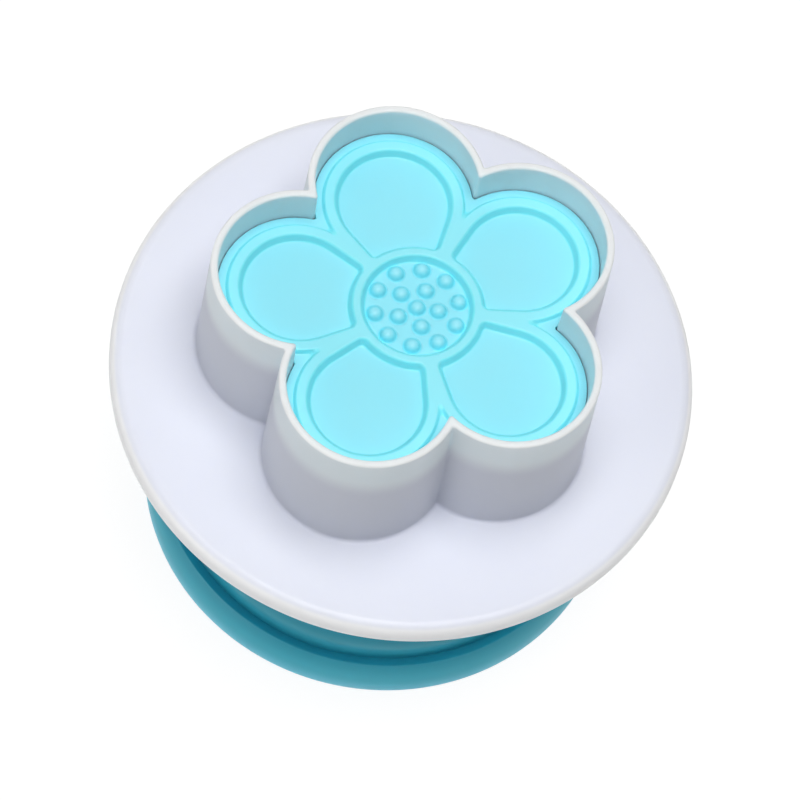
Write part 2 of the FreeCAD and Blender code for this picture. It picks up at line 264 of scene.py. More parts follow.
@dataclass(frozen=True)
class FloorOutline:
    """Edge of a petal's sunk floor: an arc, two straight sides and the arc of the centre ring.

    Attributes:
        reach: Distance from the axis to the middle of the petal.
        radius: Radius of the petal's end.
        ring: Radius of the centre ring's outside.
        corner: Radius of the two corners beside the ring.
        end_steps: Steps of half the petal's end.
        side_steps: Steps of a straight side.
        corner_steps: Steps of a corner.
        ring_steps: Steps of half the ring's arc.
    """

    reach: float
    radius: float
    ring: float
    corner: float = 0.7
    end_steps: int = 40
    side_steps: int = 8
    corner_steps: int = 8
    ring_steps: int = 14

    def loop(self, inset: float) -> list[Vector]:
        """Closed edge beside the nominal one.

        Args:
            inset: Distance inwards, negative for outwards.

        Returns:
            Points of the closed edge, from the petal's tip and against the clock.
        """
        tilt = math.asin(self.radius / self.reach)
        side = heading(tilt)
        inwards = heading(tilt - math.pi / 2)
        far = math.sqrt(self.reach ** 2 - self.radius ** 2)
        near = math.sqrt((self.ring + self.corner) ** 2 - self.corner ** 2)
        nook = side * near + inwards * self.corner
        nook_turn = math.atan2(-nook.x, nook.y)
        middle = Vector((0, self.reach))
        left: list[Vector] = []
        for step in range(self.end_steps):
            turn = (tilt + math.pi / 2) * step / self.end_steps
            left.append(middle + heading(turn) * (self.radius - inset))
        for step in range(self.side_steps):
            along = far + (near - far) * step / self.side_steps
            left.append(side * along + inwards * inset)
        for step in range(self.corner_steps):
            turn = tilt + math.pi / 2 + (nook_turn - tilt + math.pi / 2) * step / self.corner_steps
            left.append(nook + heading(turn) * (self.corner - inset))
        for step in range(self.ring_steps + 1):
            turn = nook_turn * (1 - step / self.ring_steps)
            left.append(heading(turn) * (self.ring + inset))
        return left + [Vector((-point.x, point.y)) for point in left[-2:0:-1]]


# Meshes

def linked(name: str, data: bpy.types.ID) -> bpy.types.Object:
    """Make an object and link it to the scene.

    Args:
        name: Name of the object.
        data: Its mesh, lamp or camera.

    Returns:
        The object.
    """
    made = bpy.data.objects.new(name, data)
    bpy.context.scene.collection.objects.link(made)
    return made


def meshed(name: str, bm: bmesh.types.BMesh) -> bpy.types.Object:
    """Turn the faces of a work mesh outwards and make it an object.

    Args:
        name: Name of the piece.
        bm: The work mesh, which is used up.

    Returns:
        The piece, linked to the scene.
    """
    bmesh.ops.recalc_face_normals(bm, faces=bm.faces)
    mesh = bpy.data.meshes.new(name)
    bm.to_mesh(mesh)
    bm.free()
    return linked(name, mesh)


class Skin:
    """Rows of points that are joined into one closed mesh."""

    def __init__(self, name: str) -> None:
        """Start an empty skin for the piece of this name."""
        self.name = name
        self.bm = bmesh.new()

    def row(self, points: Sequence[Vector], up: float) -> list[bmesh.types.BMVert]:
        """Add the vertices of one level row, from places round the axis and a height."""
        return [self.bm.verts.new((point.x * MM, point.y * MM, up * MM)) for point in points]

    def join(self, first: Sequence[bmesh.types.BMVert], second: Sequence[bmesh.types.BMVert],
             loop: bool) -> None:
        """Join two rows with quads.

        Args:
            first: One row.
            second: The other row, with as many vertices.
            loop: Whether the rows are closed.
        """
        for index in range(len(first) - (0 if loop else 1)):
            after = (index + 1) % len(first)
            self.bm.faces.new((first[index], first[after], second[after], second[index]))

    def stack(self, rows: Sequence[Row], loop: bool,
              closed: bool = False) -> list[list[bmesh.types.BMVert]]:
        """Add rows and join each to the next.

        Args:
            rows: Points and height of each row.
            loop: Whether the rows are closed.
            closed: Whether the last row is joined to the first.

        Returns:
            The rows of new vertices.
        """
        made = [self.row(points, up) for points, up in rows]
        for first, second in zip(made, made[1:]):
            self.join(first, second, loop)
        if closed:
            self.join(made[-1], made[0], loop)
        return made

    def fill(self, *rims: Sequence[bmesh.types.BMVert]) -> None:
        """Fill the level area between closed rims with triangles.

        Args:
            rims: The outer rim and the rims of any holes.
        """
        edges = []
        for rim in rims:
            for first, second in zip(rim, list(rim[1:]) + [rim[0]]):
                edges.append(self.bm.edges.get((first, second)) or self.bm.edges.new((first, second)))
        bmesh.ops.triangle_fill(self.bm, edges=edges, use_beauty=True, normal=(0, 0, 1))

    def finish(self) -> bpy.types.Object:
        """Merge doubles and make the smooth piece.

        Returns:
            The piece, linked to the scene.
        """
        bmesh.ops.remove_doubles(self.bm, verts=self.bm.verts, dist=SKIN_MERGE)
        for face in self.bm.faces:
            face.smooth = True
        return meshed(self.name, self.bm)


def lathed(name: str, outline: Sequence[Vector], columns: int = 288) -> bpy.types.Object:
    """Turn a closed section outline round the axis.

    Args:
        name: Name of the piece.
        outline: Points of the section, with the distance out as x and the height as y.
        columns: Steps round the axis.

    Returns:
        The piece.
    """
    skin = Skin(name)
    directions = [heading(turn) for turn in turns_round(columns)]
    skin.stack([([way * point.x for way in directions], point.y) for point in outline], True, True)
    return skin.finish()


def wedge(name: str, corners: Sequence[tuple[float, float]], thickness: float,
          edge: float = 0.12) -> bpy.types.Object:
    """Make a flat rib that stands in the X-Z plane with softened edges.

    Args:
        name: Name of the piece.
        corners: Distance out and height of each corner.
        thickness: Thickness of the rib.
        edge: Width of the softened edges.

    Returns:
        The rib.
    """
    bm = bmesh.new()
    face = bm.faces.new([bm.verts.new((out * MM, -thickness / 2 * MM, up * MM)) for out, up in corners])
    moved = bmesh.ops.extrude_face_region(bm, geom=[face])["geom"]
    verts = [item for item in moved if isinstance(item, bmesh.types.BMVert)]
    bmesh.ops.translate(bm, verts=verts, vec=(0, thickness * MM, 0))
    bmesh.ops.bevel(bm, geom=list(bm.edges), offset=edge * MM, segments=2, profile=0.5, affect="EDGES")
    return meshed(name, bm)


# Node trees

def add_node(tree: bpy.types.NodeTree, kind: str, inputs: dict, **settings: object) -> bpy.types.Node:
    """Add a node to a tree.

    Args:
        tree: The tree.
        kind: Type of the node.
        inputs: Values or sockets for its inputs, by name or number.
        settings: Properties of the node.

    Returns:
        The node.
    """
    node = tree.nodes.new(kind)
    for name, value in settings.items():
        setattr(node, name, value)
    for name, value in inputs.items():
        if isinstance(value, bpy.types.NodeSocket):
            tree.links.new(value, node.inputs[name])
        else:
            node.inputs[name].default_value = value
    return node


class GeometryTree:
    """A geometry node tree with named inputs that ends in real meshes with a material."""

    def __init__(self, name: str) -> None:
        """Start a tree with an input for the finish.

        Args:
            name: Name of the tree.
        """
        self.group = bpy.data.node_groups.new(name, "GeometryNodeTree")
        self.entry = self.group.nodes.new("NodeGroupInput")
        self.identifiers: dict[str, str] = {}
        self.finish = self.named("Finish", "NodeSocketMaterial")

    def named(self, name: str, kind: str) -> bpy.types.NodeSocket:
        """Add a named input.

        Args:
            name: Name of the input.
            kind: Type of its socket.

        Returns:
            The socket that gives the input's value inside the tree.
        """
        item = self.group.interface.new_socket(name, in_out="INPUT", socket_type=kind)
        self.identifiers[name] = item.identifier
        return self.entry.outputs[name]

    def node(self, kind: str, inputs: dict, **settings: object) -> bpy.types.Node:
        """Add a node to this tree."""
        return add_node(self.group, kind, inputs, **settings)

    def maths(self, operation: str, *values: object, clamp: bool = False) -> bpy.types.NodeSocket:
        """Work out a number from numbers or sockets."""
        inputs = dict(enumerate(values))
        return self.node("ShaderNodeMath", inputs, operation=operation, use_clamp=clamp).outputs[0]

    def copies(self, piece: bpy.types.NodeSocket, count: object, first: object,
               offset: object) -> bpy.types.NodeSocket:
        """Place copies of a piece at even steps round the axis.

        Args:
            piece: Geometry of the piece.
            count: How many copies there are.
            first: Angle of the first copy in radians.
            offset: How far the piece is moved before it is turned.

        Returns:
            The copies as instances.
        """
        moved = self.node("GeometryNodeTransform", {"Geometry": piece, "Translation": offset})
        points = self.node("GeometryNodePoints", {"Count": count})
        index = self.node("GeometryNodeInputIndex", {}).outputs[0]
        step = self.maths("DIVIDE", 2 * math.pi, count)
        angle = self.maths("MULTIPLY_ADD", index, step, first)
        turn = self.node("ShaderNodeCombineXYZ", {"Z": angle})
        rotation = self.node("FunctionNodeEulerToRotation", {"Euler": turn.outputs[0]})
        inputs = {"Points": points.outputs[0], "Instance": moved.outputs[0], "Rotation": rotation.outputs[0]}
        return self.node("GeometryNodeInstanceOnPoints", inputs).outputs[0]

    def close(self, geometry: bpy.types.NodeSocket, weld: float = 0.0) -> None:
        """End the tree: make instances real, merge doubles and set the finish.

        Args:
            geometry: What the tree has made.
            weld: Distance within which vertices are merged, or 0 for none.
        """
        whole = self.node("GeometryNodeRealizeInstances", {"Geometry": geometry}).outputs[0]
        if weld:
            merging = {"Geometry": whole, "Distance": weld}
            whole = self.node("GeometryNodeMergeByDistance", merging).outputs[0]
        dressing = {"Geometry": whole, "Material": self.finish}
        dressed = self.node("GeometryNodeSetMaterial", dressing).outputs[0]
        self.group.interface.new_socket("Geometry", in_out="OUTPUT", socket_type="NodeSocketGeometry")
        self.node("NodeGroupOutput", {"Geometry": dressed})

    def make(self, name: str, finish: bpy.types.Material, values: dict) -> bpy.types.Object:
        """Run the tree and keep its result as a plain mesh.

        Args:
            name: Name of the piece.
            finish: Material of the piece.
            values: Values of the other named inputs.

        Returns:
            The piece, linked to the scene, with its faces outwards.
        """
        maker = linked(name + ".maker", bpy.data.meshes.new(name + ".maker"))
        modifier = maker.modifiers.new("tree", "NODES")
        modifier.node_group = self.group
        for key, value in {"Finish": finish, **values}.items():
            modifier[self.identifiers[key]] = value
        graph = bpy.context.evaluated_depsgraph_get()
        mesh = bpy.data.meshes.new_from_object(maker.evaluated_get(graph))
        bpy.data.objects.remove(maker)
        bm = bmesh.new()
        bm.from_mesh(mesh)
        bmesh.ops.recalc_face_normals(bm, faces=bm.faces)
        bm.to_mesh(mesh)
        bm.free()
        mesh.name = name
        return linked(name, mesh)


class WheelTree(GeometryTree):
    """Copies of one piece at even steps round the axis."""

    def __init__(self, name: str, weld: float = 0.0) -> None:
        """Build the tree.

        Args:
            name: Name of the tree.
            weld: Distance within which the copies grow together, or 0 for separate copies.
        """
        super().__init__(name)
        piece = self.named("Piece", "NodeSocketObject")
        count = self.named("Count", "NodeSocketInt")
        first = self.named("First angle", "NodeSocketFloat")
        shape = self.node("GeometryNodeObjectInfo", {"Object": piece}, transform_space="ORIGINAL")
        self.close(self.copies(shape.outputs["Geometry"], count, first, (0.0, 0.0, 0.0)), weld)

    def around(self, piece: bpy.types.Object, finish: bpy.types.Material, count: int,
               first: float) -> bpy.types.Object:
        """Repeat a piece round the axis in place of the single one.

        Args:
            piece: The piece, which is used up.
            finish: Material of the copies.
            count: How many copies there are.
            first: Angle of the first copy in degrees.

        Returns:
            One piece that holds every copy.
        """
        name = piece.name
        piece.name = name + ".one"
        values = {"Piece": piece, "Count": count, "First angle": math.radians(first)}
        made = self.make(name, finish, values)
        bpy.data.objects.remove(piece)
        return made


class DomeTree(GeometryTree):
    """A dome in the middle and rows of domes round it, half a step off the petals."""

    def __init__(self, name: str, rows: int, petals: int) -> None:
        """Build the tree.

        Args:
            name: Name of the tree.
            rows: How many rows lie round the middle dome.
            petals: How many domes the first row has, and each later row more than the last.
        """
        super().__init__(name)
        piece = self.named("Dome", "NodeSocketObject")
        spacing = self.named("Spacing", "NodeSocketFloat")
        shape = self.node("GeometryNodeObjectInfo", {"Object": piece}, transform_space="ORIGINAL")
        dome = shape.outputs["Geometry"]
        joined = self.node("GeometryNodeJoinGeometry", {"Geometry": dome})
        for row in range(1, rows + 1):
            count = petals * row
            away = self.node("ShaderNodeCombineXYZ", {"Y": self.maths("MULTIPLY", spacing, float(row))})
            placed = self.copies(dome, count, math.pi / count, away.outputs[0])
            self.group.links.new(placed, joined.inputs[0])
        self.close(joined.outputs[0])


class SpringTree(GeometryTree):
    """A wound wire with even turns between two end turns that close up."""

    def __init__(self, name: str) -> None:
        """Build the tree.

        Args:
            name: Name of the tree.
        """
        super().__init__(name)
        size = {key: self.named(key, "NodeSocketFloat")
                for key in ("Coil radius", "Wire radius", "Foot", "Head", "Turns", "End rise")}
        points = self.named("Points", "NodeSocketInt")
        sides = self.named("Wire sides", "NodeSocketInt")
        line = self.node("GeometryNodeCurvePrimitiveLine", {"End": (0.0, 0.0, 1.0)})
        path = self.node("GeometryNodeResampleCurve", {"Curve": line.outputs[0], "Count": points})
        share = self.node("GeometryNodeSplineParameter", {}).outputs["Factor"]
        turn = self.maths("MULTIPLY", share, size["Turns"])
        # The even turns between the two end turns
        ends = 2.0
        even = self.maths("SUBTRACT", size["Turns"], ends)
        span = self.maths("SUBTRACT", size["Head"], size["Foot"])
        rise = self.maths("SUBTRACT", span, self.maths("MULTIPLY", size["End rise"], ends))
        along = self.maths("DIVIDE", self.maths("SUBTRACT", turn, 1.0), even, clamp=True)
        # An end turn rises by the square of its share, so that it lies flat against its seat
        low = self.maths("MINIMUM", turn, 1.0)
        high = self.maths("MINIMUM", self.maths("SUBTRACT", size["Turns"], turn), 1.0)
        start = self.maths("MULTIPLY", self.maths("MULTIPLY", low, low), size["End rise"])
        end = self.maths("SUBTRACT", 1.0, self.maths("MULTIPLY", high, high))
        finish = self.maths("MULTIPLY", end, size["End rise"])
        height = self.maths("MULTIPLY_ADD", along, rise, self.maths("ADD", start, finish))
        height = self.maths("ADD", height, size["Foot"])
        angle = self.maths("MULTIPLY", turn, 2 * math.pi)
        across = self.maths("MULTIPLY", self.maths("COSINE", angle), size["Coil radius"])
        aside = self.maths("MULTIPLY", self.maths("SINE", angle), size["Coil radius"])
        place = self.node("ShaderNodeCombineXYZ", {"X": across, "Y": aside, "Z": height})
        moved = {"Geometry": path.outputs[0], "Position": place.outputs[0]}
        coil = self.node("GeometryNodeSetPosition", moved)
        section = {"Resolution": sides, "Radius": size["Wire radius"]}
        ring = self.node("GeometryNodeCurvePrimitiveCircle", section)
        inputs = {"Curve": coil.outputs[0], "Profile Curve": ring.outputs[0], "Fill Caps": True}
        wire = self.node("GeometryNodeCurveToMesh", inputs)
        self.close(self.node("GeometryNodeSetShadeSmooth", {"Geometry": wire.outputs[0]}).outputs[0])


# Finishes

class Surface:
    """A principled surface and the nodes that feed it, which read the piece's own coordinates."""

    def __init__(self, name: str, constants: dict) -> None:
        """Start a material.

        Args:
            name: Name of the material.
            constants: Values that are the same all over, by socket name.
        """
        self.material = bpy.data.materials.new(name)
        self.material.use_nodes = True
        self.tree = self.material.node_tree
        self.shader = self.tree.nodes["Principled BSDF"]
        for key, value in constants.items():
            self.shader.inputs[key].default_value = value
        self.place = self.node("ShaderNodeTexCoord", {}).outputs["Object"]

    def node(self, kind: str, inputs: dict, **settings: object) -> bpy.types.Node:
        """Add a node to the material."""
        return add_node(self.tree, kind, inputs, **settings)

    def feed(self, key: str, value: bpy.types.NodeSocket) -> None:
        """Drive one of the surface's inputs."""
        self.tree.links.new(value, self.shader.inputs[key])

    def noise(self, size: float, detail: float = 2.0, stretch: Sequence[float] = (1, 1, 1),
              turn: float = 0.0) -> bpy.types.NodeSocket:
        """Add a noise pattern.

        Args:
            size: Width of its patches in millimetres.
            detail: Levels of finer detail.
            stretch: How much longer the patches are along each axis.
            turn: Angle in degrees by which the pattern is turned round Z.

        Returns:
            The pattern, from 0 to 1.
        """
        scale = [1 / (MM * size * value) for value in stretch]
        inputs = {"Vector": self.place, "Rotation": (0, 0, math.radians(turn)), "Scale": scale}
        mapping = self.node("ShaderNodeMapping", inputs)
        inputs = {"Vector": mapping.outputs[0], "Scale": 1.0, "Detail": detail}
        return self.node("ShaderNodeTexNoise", inputs).outputs["Fac"]

    def between(self, fac: bpy.types.NodeSocket, low: float, high: float,
                first: float = 0.35, last: float = 0.65) -> bpy.types.NodeSocket:
        """Spread a pattern from low, where it is first or less, to high, where it is last or more."""
        inputs = {"Value": fac, "From Min": first, "From Max": last, "To Min": low, "To Max": high}
        return self.node("ShaderNodeMapRange", inputs).outputs[0]

    def tint(self, fac: bpy.types.NodeSocket, first: Colour, second: Colour) -> bpy.types.NodeSocket:
        """Mix two colours by a pattern."""
        inputs = {"Factor": fac, "A": (*first, 1), "B": (*second, 1)}
        return self.node("ShaderNodeMix", inputs, data_type="RGBA").outputs["Result"]

    def times(self, first: bpy.types.NodeSocket, second: bpy.types.NodeSocket) -> bpy.types.NodeSocket:
        """Multiply two colours."""
        inputs = {"Factor": 1.0, "A": first, "B": second}
        return self.node("ShaderNodeMix", inputs, data_type="RGBA", blend_type="MULTIPLY").outputs["Result"]

    def by_height(self, shades: Sequence[Shade]) -> bpy.types.NodeSocket:
        """Add a colour that changes with the height above the rest plane.

        Args:
            shades: Heights in millimetres, lowest first, with their colours, which paint light and shade.

        Returns:
            The colour.
        """
        low = shades[0][0]
        high = shades[-1][0]
        split = self.node("ShaderNodeSeparateXYZ", {0: self.place})
        share = self.between(split.outputs["Z"], 0, 1, low * MM, high * MM)
        ramp = self.node("ShaderNodeValToRGB", {"Fac": share})
        ramp.color_ramp.interpolation = "EASE"
        stops = ramp.color_ramp.elements
        for height, colour in shades[1:-1]:
            stops.new((height - low) / (high - low)).color = (*colour, 1)
        stops[0].color = (*shades[0][1], 1)
        stops[-1].color = (*shades[-1][1], 1)
        return ramp.outputs["Color"]

    def relief(self, layers: Sequence[tuple[bpy.types.NodeSocket, float]]) -> None:
        """Add bumps to the surface.

        Args:
            layers: Patterns with their depths in millimetres.
        """
        below: dict[str, bpy.types.NodeSocket] = {}
        for pattern, depth in layers:
            bump = self.node("ShaderNodeBump", {"Height": pattern, "Distance": depth * MM, **below})
            below = {"Normal": bump.outputs[0]}
        self.feed("Normal", below["Normal"])

    def paint(self, colour: bpy.types.NodeSocket, shades: Sequence[Shade]) -> None:
        """Drive the surface's colour.

        Args:
            colour: The colour of the finish.
            shades: Heights with the colours that it is multiplied by there, which paint light and shade, or
                none.
        """
        if shades:
            colour = self.times(colour, self.by_height(shades))
        self.feed("Base Color", colour)


@dataclass(frozen=True)
class MouldedPlastic:
    """Injection-moulded plastic with faint flow clouds, a soft shine and the mould's fine texture.

    Attributes:
        name: Name of the material.
        colour: Colour of most of the surface.
        cloud: Colour of the flow clouds.
        shine: Roughness where the surface is smoothest and where it is dullest.
        depth: How far light travels inside, for red, green and blue, in millimetres.
        milkiness: Share of the light that goes inside.
        refraction: Index of refraction.
        swirl: Width of the clouds in millimetres.
        wear: Width of the duller patches in millimetres.
        wear_stretch: How much longer these patches are along each axis.
        wear_turn: Angle in degrees by which they lie turned.
        spread: Pattern values between which clouds and patches fade.
        grain: Width of the mould's fine texture in millimetres.
        grain_depth: Depth of that texture in millimetres.
        sink: Width of the shallow sink marks in millimetres.
        sink_depth: Depth of the sink marks in millimetres.
    """

    name: str
    colour: Colour
    cloud: Colour
    shine: tuple[float, float]
    depth: Colour
    milkiness: float
    refraction: float = 1.49
    swirl: float = 18.0
    wear: float = 7.0
    wear_stretch: tuple[float, float, float] = (1.0, 3.0, 1.0)
    wear_turn: float = 25.0
    spread: tuple[float, float] = (0.2, 0.8)
    grain: float = 0.6
    grain_depth: float = 0.0012
    sink: float = 12.0
    sink_depth: float = 0.02

    def material(self, shades: Sequence[Shade] = ()) -> bpy.types.Material:
        """Build the material.

        Args:
            shades: Heights with the colours that the finish is multiplied by there, as painted light and
                shade.

        Returns:
            The material.
        """
        constants = {
            "Subsurface Weight": self.milkiness,
            "Subsurface Radius": self.depth,
            "Subsurface Scale": MM,
            "IOR": self.refraction,
        }
        surface = Surface(self.name, constants)
        clouds = surface.between(surface.noise(self.swirl, detail=1.0), 0, 1, *self.spread)
        surface.paint(surface.tint(clouds, self.colour, self.cloud), shades)
        patches = surface.noise(self.wear, 1.0, self.wear_stretch, self.wear_turn)
        surface.feed("Roughness", surface.between(patches, *self.shine, *self.spread))
        sinks = surface.noise(self.sink, detail=0.0)
        grains = surface.noise(self.grain, detail=0.0)
        surface.relief([(sinks, self.sink_depth), (grains, self.grain_depth)])
        return surface.material


@dataclass(frozen=True)
class DrawnSteel:
    """Bare or plated steel with drawing marks and a slightly uneven shine.

    Attributes:
        name: Name of the material.
        colour: Colour of the clean metal.
        stain: Colour of its duller patches.
        shine: Roughness of the clean and of the dull metal.
        mark: Width of the drawing marks in millimetres.
        mark_stretch: How much longer the marks are along each axis.
        mark_depth: Depth of the marks in millimetres.
        patch: Width of the duller patches in millimetres.
        scuff: Width of the spots in the shine in millimetres.
    """

    name: str
    colour: Colour
    stain: Colour
    shine: tuple[float, float]
    mark: float = 0.12
    mark_stretch: tuple[float, float, float] = (6.0, 6.0, 1.0)
    mark_depth: float = 0.006
    patch: float = 2.5
    scuff: float = 0.8

    def material(self, shades: Sequence[Shade] = ()) -> bpy.types.Material:
        """Build the material.

        Args:
            shades: Heights with the colours that the finish is multiplied by there, as painted light and
                shade.

        Returns:
            The material.
        """
        surface = Surface(self.name, {"Metallic": 1.0})
        patches = surface.between(surface.noise(self.patch, detail=3.0), 0, 1)
        surface.paint(surface.tint(patches, self.colour, self.stain), shades)
        surface.feed("Roughness", surface.between(surface.noise(self.scuff), *self.shine))
        surface.relief([(surface.noise(self.mark, stretch=self.mark_stretch), self.mark_depth)])
        return surface.material


PLAIN: Colour = (1.0, 1.0, 1.0)
WHITE = MouldedPlastic(
    "white_moulded_plastic",
    colour=(0.80, 0.82, 0.90),
    cloud=(0.78, 0.80, 0.885),
    shine=(0.36, 0.46),
    depth=(1.7, 1.7, 1.7),
    milkiness=0.8,
)
CYAN = MouldedPlastic(
    "cyan_moulded_plastic",
    colour=(0.295, 0.825, 0.965),
    cloud=(0.28, 0.815, 0.955),
    shine=(0.40, 0.50),
    depth=(0.5, 0.7, 0.8),
    milkiness=0.25,
    swirl=14.0,
)
# A deeper cyan than the stamp's for the hub and cap: partly a deeper plastic, partly painted shade for
# pieces under the disc
HUB_CYAN = MouldedPlastic(
    "hub_cyan_plastic",
    colour=(0.06, 0.61, 0.79),
    cloud=(0.055, 0.595, 0.775),
    shine=(0.34, 0.46),
    depth=(0.3, 0.8, 1.0),
    milkiness=0.2,
    swirl=16.0,
)
CAP_CYAN = replace(HUB_CYAN, name="cap_cyan_plastic")
DOME_CYAN = replace(CYAN, name="dome_cyan_plastic", milkiness=0.0)
SPRING_WIRE = DrawnSteel(
    "spring_wire",
    colour=(0.60, 0.60, 0.61),
    stain=(0.47, 0.46, 0.45),
    shine=(0.28, 0.38),
)
ZINC = DrawnSteel(
    "zinc_plated_screw",
    colour=(0.66, 0.67, 0.70),
    stain=(0.52, 0.54, 0.58),
    shine=(0.28, 0.42),
    mark=0.2,
)


# Sub-assemblies

@dataclass
class SubAssembly:
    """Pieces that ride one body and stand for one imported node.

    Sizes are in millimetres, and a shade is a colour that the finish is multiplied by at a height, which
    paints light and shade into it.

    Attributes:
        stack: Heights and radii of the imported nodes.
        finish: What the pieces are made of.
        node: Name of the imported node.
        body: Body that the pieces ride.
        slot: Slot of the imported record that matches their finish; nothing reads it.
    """

    stack: Stack
    finish: MouldedPlastic | DrawnSteel

    node: ClassVar[str]
    body: ClassVar[Body]
    slot: ClassVar[Slot]

    def __post_init__(self) -> None:
        """Make the material."""
        self.material = self.finish.material(self.shades())

    def shades(self) -> list[Shade]:
        """Heights with the colours that the finish is multiplied by there, as painted light and shade."""
        return []

    def settle(self, piece: bpy.types.Object) -> bpy.types.Object:
        """Dress a piece, tie it to its body and hide the node that it stands for.

        Args:
            piece: The finished piece.

        Returns:
            The same piece.
        """
        if not piece.data.materials:
            piece.data.materials.append(self.material)
        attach(piece, self.body.value)
        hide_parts(self.node)
        log.info("%s: %d faces, on body %s", piece.name, len(piece.data.polygons), self.body.value)
        return piece

    def build(self) -> list[bpy.types.Object]:
        """Make the pieces."""
        raise NotImplementedError


@dataclass
class Moulding(SubAssembly):
    """A sub-assembly of moulded plastic.

    Attributes:
        soft: Usual radius of a rounded edge, halved or doubled on some.
    """

    soft: float = 0.30


@dataclass
class FlowerMoulding(Moulding):
    """A moulding that follows the petals.

    Attributes:
        petals: Layout of the petals.
        valley: Radius that rounds the valley between two petals.
        disc_thickness: Thickness of the flange disc.
    """

    petals: PetalLayout = field(default_factory=PetalLayout)
    valley: float = 0.30
    disc_thickness: float = 1.9

    @property
    def disc_top(self) -> float:
        """Height of the flange disc's face."""
        return self.stack.disc_back + self.disc_thickness


@dataclass
class CutterBody(FlowerMoulding):
    """The white moulding: petal wall, flange disc with a rolled edge, guide tube and spring seat."""

    petal_radius: float = 9.55
    rim_thickness: float = 0.90
    outside_draft: float = 0.60
    inside_draft: float = 0.15
    edge_roll: float = 1.5
    lip_drop: float = 0.5
    lip_width: float = 1.9
    guide_bore: float = 5.1
    guide_radius: float = 7.2
    guide_rise: float = 7.0
    seat_radius: float = 9.4
    seat_wall: float = 1.2
    seat_depth: float = 2.0
    gusset_count: int = 10
    # Angle of the first gusset in degrees
    gusset_first: float = 90.0
    gusset_reach: float = 4.0
    gusset_thickness: float = 1.2
    foot_fillet: float = 0.50
    # Painted light: the rolled edge's colour is made paler where it turns down
    edge_painted_light: Colour = (1.17, 1.15, 1.09)
    # Shares of the edge roll, down from the disc's face, over which its painted light fades in
    edge_fade: tuple[float, float] = (0.08, 0.30)
    # Painted shade: the wall's colour is made darker from its foot up to the painted glow
    wall_painted_shade: Colour = (0.82, 0.835, 0.85)
    # How far down from the rim the painted glow reaches: painted light that stands in for light through the
    # wall
    painted_glow_depth: float = 7.5
    # Painted light: the wall's colour is made paler near the rim, as a glow
    painted_glow_shade: Colour = (1.00, 1.04, 0.98)
    # Painted highlight: the rim's colour is made paler
    rim_painted_light: Colour = (1.19, 1.18, 1.08)

    node = "cutter_body"
    body = Body.CUTTER
    slot = Slot.WHITE

    def shades(self) -> list[Shade]:
        """Painted light and shade: paler on the disc's rolled edge, darker down the wall, and paler near the
        rim as a painted glow.

        Returns:
            Heights with their colours, lowest first.
        """
        start, end = [self.disc_top - self.edge_roll * share for share in self.edge_fade]
        return [
            (end, self.edge_painted_light),
            (start, PLAIN),
            (self.disc_top, PLAIN),
            (self.disc_top + self.foot_fillet, self.wall_painted_shade),
            (self.stack.rim - self.painted_glow_depth, self.wall_painted_shade),
            (self.stack.rim - self.painted_glow_depth / 2, self.painted_glow_shade),
            (self.stack.rim - self.soft, self.painted_glow_shade),
            (self.stack.rim, self.rim_painted_light),
        ]

    def wall_rows(self) -> list[Row]:
        """Rows up the inside of the petal wall, over the rim and down the outside.

        Returns:
            Points and height of each row, for one petal's share.
        """
        rim = self.stack.rim
        foot = self.disc_top
        inside = self.petal_radius - self.inside_draft
        outside = self.petal_radius + self.rim_thickness
        base = outside + self.outside_draft
        corners = [
            Corner(inside - 2 * self.soft, foot),
            Corner(inside, foot, self.soft),
            Corner(self.petal_radius, rim, self.soft),
            Corner(outside, rim, self.soft),
            Corner(base, foot, self.foot_fillet),
            Corner(base + 2 * self.foot_fillet, foot),
        ]
        return [(self.petals.outline(point.x, self.valley), point.y) for point in rounded(corners)]

    def disc_rows(self) -> list[Row]:
        """Rows over the disc's edge, along its back, and down and up the guide tube.

        Returns:
            Points and height of each row, for one petal's share.
        """
        edge = self.stack.disc_radius
        back = self.stack.disc_back
        lip = back - self.lip_drop
        inner = edge - self.lip_width
        seat_end = back - self.seat_depth
        seat_outside = self.seat_radius + self.seat_wall
        guide_top = self.disc_top + self.guide_rise
        soft = self.soft
        corners = [
            Corner(edge - 2 * self.edge_roll, self.disc_top),
            Corner(edge, self.disc_top, self.edge_roll),
            Corner(edge, lip, soft / 2),
            Corner(inner, lip, soft / 2),
            Corner(inner - self.lip_drop, back, soft / 2),
            Corner(seat_outside, back, soft),
            Corner(seat_outside, seat_end, soft),
            Corner(self.seat_radius, seat_end, soft),
            Corner(self.seat_radius, back, soft / 2),
            Corner(self.guide_radius, back, soft / 2),
            Corner(self.guide_radius, self.stack.guide_end, soft),
            Corner(self.guide_bore, self.stack.guide_end, soft),
            Corner(self.guide_bore, guide_top, soft),
            Corner(self.guide_radius, guide_top, soft),
            Corner(self.guide_radius, self.disc_top, soft),
            Corner(self.guide_radius + 3 * soft, self.disc_top),
        ]
        return [(self.petals.circle(point.x), point.y) for point in rounded(corners)]

    def gusset(self) -> bpy.types.Object:
        """Triangular rib between the spring seat's wall and the disc's back.

        Returns:
            The rib.
        """
        inner = self.seat_radius + self.seat_wall / 2
        outer = self.seat_radius + self.seat_wall + self.gusset_reach
        back = self.stack.disc_back
        low = back - self.seat_depth
        sunk = self.soft / 2
        past = outer + sunk * (outer - inner) / self.seat_depth
        corners = [(inner, back + sunk), (inner, low), (past, back + sunk)]
        return wedge("cutter_body_gussets", corners, self.gusset_thickness)

